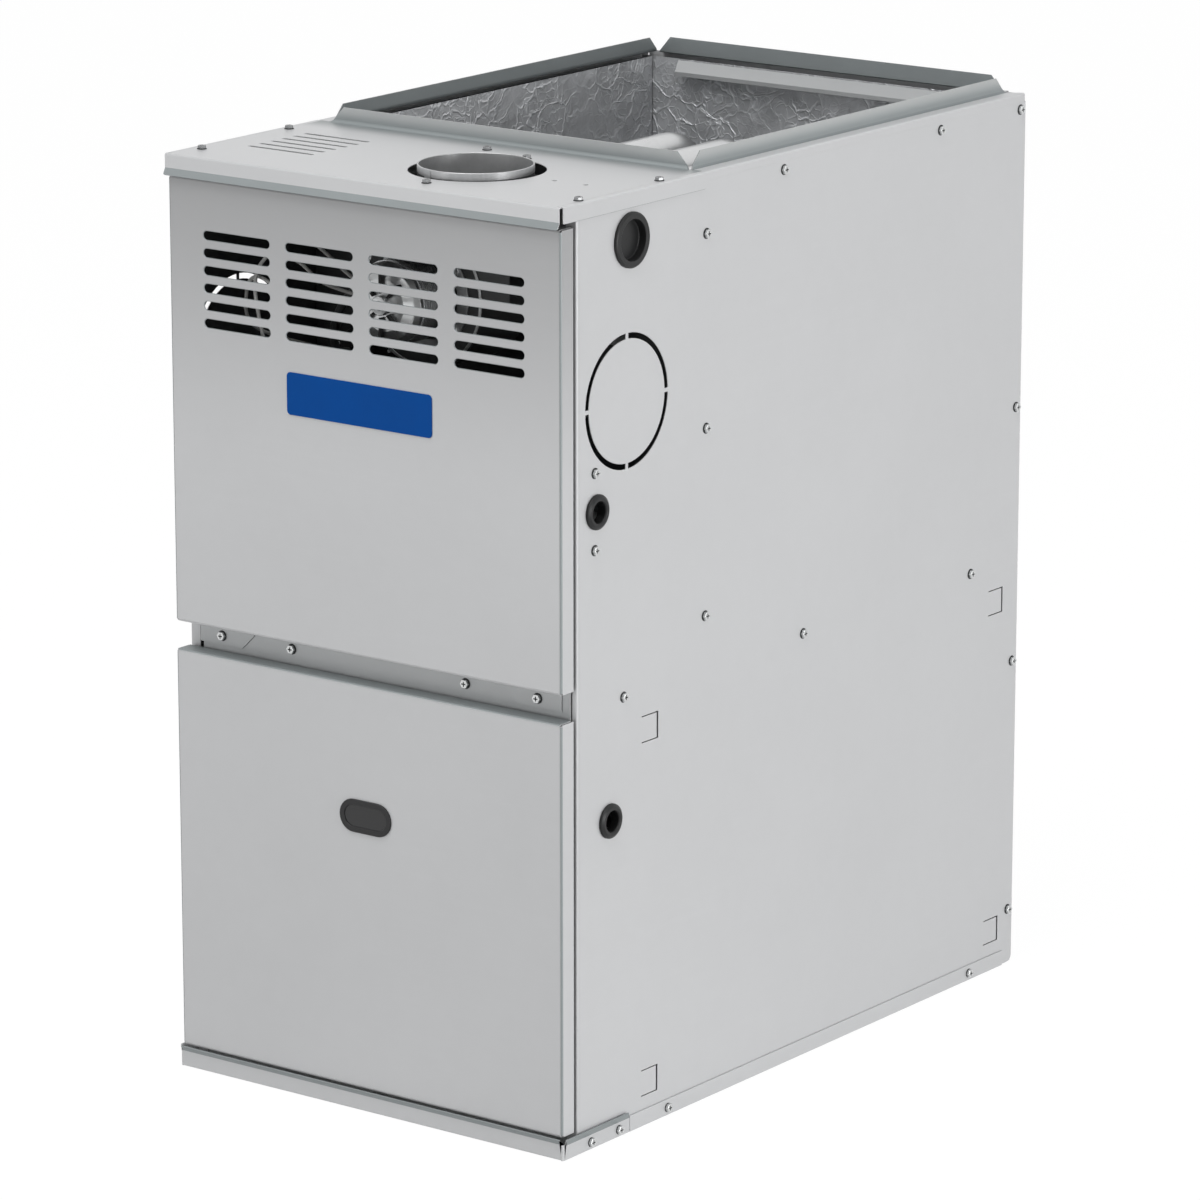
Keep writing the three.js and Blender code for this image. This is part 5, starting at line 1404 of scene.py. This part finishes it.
class FURNACE_OT_outlets(bpy.types.Operator):
    """Make the flue collar, the exchanger tubes and the foil-faced insulation"""
    bl_idname = "furnace.outlets"
    bl_label = "Outlets"

    def execute(self, context):
        add_piece("rolled_collar", collar(), ["collar_steel", "inner_painted_shade"],
                  replaces=["flue_collar"])
        for n, x in enumerate(TUBE_X, 1):
            add_piece(f"heat_tube_{n}", [wall_of(tube_path(x), 19.0, 17.6, 32)], ["tube_steel"],
                      replaces=[f"exchanger_tube_{n}"])
        low, high = edges("right_liner")
        span, heights = (low[1], high[1]), (low[2], high[2])
        right = foil_sheet("x", low[0], span, heights, 3)
        left = foil_sheet("x", low[0], span, heights, 11).mirrored()
        low, high = edges("back_liner")
        back = foil_sheet("y", low[1], (low[0], high[0]), (low[2], high[2]), 23)
        for name, shell in (("right", right), ("left", left), ("back", back)):
            add_piece(name + "_foil", [shell], ["foil"], replaces=[name + "_liner"])
        return {"FINISHED"}


class FURNACE_OT_fasteners(bpy.types.Operator):
    """Make the hex washer head screws on the sides, the top, the strip, the toe board and the back"""
    bl_idname = "furnace.fasteners"
    bl_label = "Fasteners"

    def execute(self, context):
        sizes = context.scene.furnace_sizes
        across, washer = sizes.screw_across / MM, sizes.washer / MM
        on_wall = [(213, 808), (213.5, 631), (213, 458), (47.7, 620.6), (47.4, 551.3), (723, 559.4),
                   (723, 307.1), (723, 54.8), (90, 409), (368, 409), (648, 409)]
        on_ledge = [(332, 848), (586, 848), (722, 848.6)]
        right = screws("x", 1, on_wall + on_ledge, SIDE_X, across, washer)
        right += screws("x", 1, [(40, 6.6), (82, 6.6)], SIDE_X + 1.3, across, washer - 1.2)
        right += screws("x", 1, [(156, 7.2), (653, 7.2)], SIDE_X + 1.6, across, washer - 1.2)
        strip = [part for x, face in ((-181.5, 18.0), (-100.0, 19.3), (100.0, 19.3), (181.5, 18.0))
                 for part in screw("y", -1, x, STRIP["screws"], face, across, washer)]
        on_top = [(-209.0, 32.5), (-212.5, 160.0), (214.5, 34.4), (214.5, 152.4), (58.0, 21.2),
                  (0.5, 182.0), (56.1, 168.0)]
        top = screws("z", 1, on_top, TOP_Z, across - 0.6, washer - 1.0)
        on_back = [(x, z) for x in (-214.0, -72.0, 72.0, 214.0) for z in (20.0, 430.0, 845.0)]
        rear = screws("y", 1, on_back, BACK_Y, across, washer)
        for name, shells, metal in (("right", right, "screw_zinc"), ("left", mirrored(right), "screw_zinc"),
                                    ("strip", strip, "screw_zinc"), ("top", top, "top_screw"),
                                    ("rear", rear, "screw_zinc")):
            add_piece(name + "_screws", shells, [metal, "washer_painted_shadow"])
        return {"FINISHED"}


class FURNACE_OT_burner_gear(bpy.types.Operator):
    """Make the burners, the manifold, the draught parts, the board's small parts and the wires"""
    bl_idname = "furnace.burner_gear"
    bl_label = "Burner gear"

    def execute(self, context):
        for n, x in enumerate(TUBE_X, 1):
            add_piece(f"burner_head_{n}", burner(x), ["galvanised"], replaces=[f"burner_{n}"])
        add_piece("gas_pipe", manifold(), ["dark_metal", "brass"], replaces=["gas_manifold"])
        add_piece("draught_trim", draught_housing(), ["bright_steel"])
        add_piece("draught_motor", draught_motor(), ["bright_steel", "black_plastic"],
                  replaces=["inducer_motor"])
        add_piece("vent_switch", vent_switch(), ["black_plastic", "screw_zinc"],
                  replaces=["pressure_switch"])
        add_piece("board_parts", control_parts(), ["black_plastic", "ceramic", "brass"])
        add_piece("wires", leads(), ["white_wire", "black_rubber"])
        return {"FINISHED"}


class FURNACE_OT_blower_gear(bpy.types.Operator):
    """Make the blower wheel, its motor and its capacitor"""
    bl_idname = "furnace.blower_gear"
    bl_label = "Blower gear"

    def execute(self, context):
        add_piece("vaned_wheel", wheel(), ["galvanised"], "blower_rotor", ["blower_wheel"])
        add_piece("drive_motor", blower_drive(), ["dark_metal", "black_plastic"],
                  replaces=["blower_motor"])
        add_piece("round_capacitor", capacitor(), ["bright_steel", "brass"],
                  replaces=["run_capacitor"])
        return {"FINISHED"}


STEPS = (FURNACE_OT_stage, FURNACE_OT_finishes, FURNACE_OT_casing, FURNACE_OT_doors, FURNACE_OT_hole_trim,
         FURNACE_OT_outlets, FURNACE_OT_fasteners, FURNACE_OT_burner_gear, FURNACE_OT_blower_gear)


class FURNACE_PT_panel(bpy.types.Panel):
    """The furnace's sizes, colours and steps"""
    bl_idname = "FURNACE_PT_panel"
    bl_label = "Furnace"
    bl_space_type = "VIEW_3D"
    bl_region_type = "UI"
    bl_category = "Furnace"

    def draw(self, context):
        for settings in (context.scene.furnace_sizes, context.scene.furnace_colours):
            box = self.layout.box()
            for name in settings.__annotations__:
                box.prop(settings, name)
        for step in STEPS:
            self.layout.operator(step.bl_idname)


CLASSES = (FurnaceSizes, FurnaceColours, *STEPS, FURNACE_PT_panel)


def register():
    """Adds the settings, the operators and the panel."""
    for item in CLASSES:
        bpy.utils.register_class(item)
    bpy.types.Scene.furnace_sizes = bpy.props.PointerProperty(type=FurnaceSizes)
    bpy.types.Scene.furnace_colours = bpy.props.PointerProperty(type=FurnaceColours)


def unregister():
    """Takes them away again, the last one first."""
    del bpy.types.Scene.furnace_colours
    del bpy.types.Scene.furnace_sizes
    for item in reversed(CLASSES):
        bpy.utils.unregister_class(item)


def main():
    """Builds every stage in order."""
    register()
    for step in ("stage", "finishes", "casing", "doors", "hole_trim", "outlets", "fasteners", "burner_gear",
                 "blower_gear"):
        getattr(bpy.ops.furnace, step)()


if __name__ == "__main__":
    main()
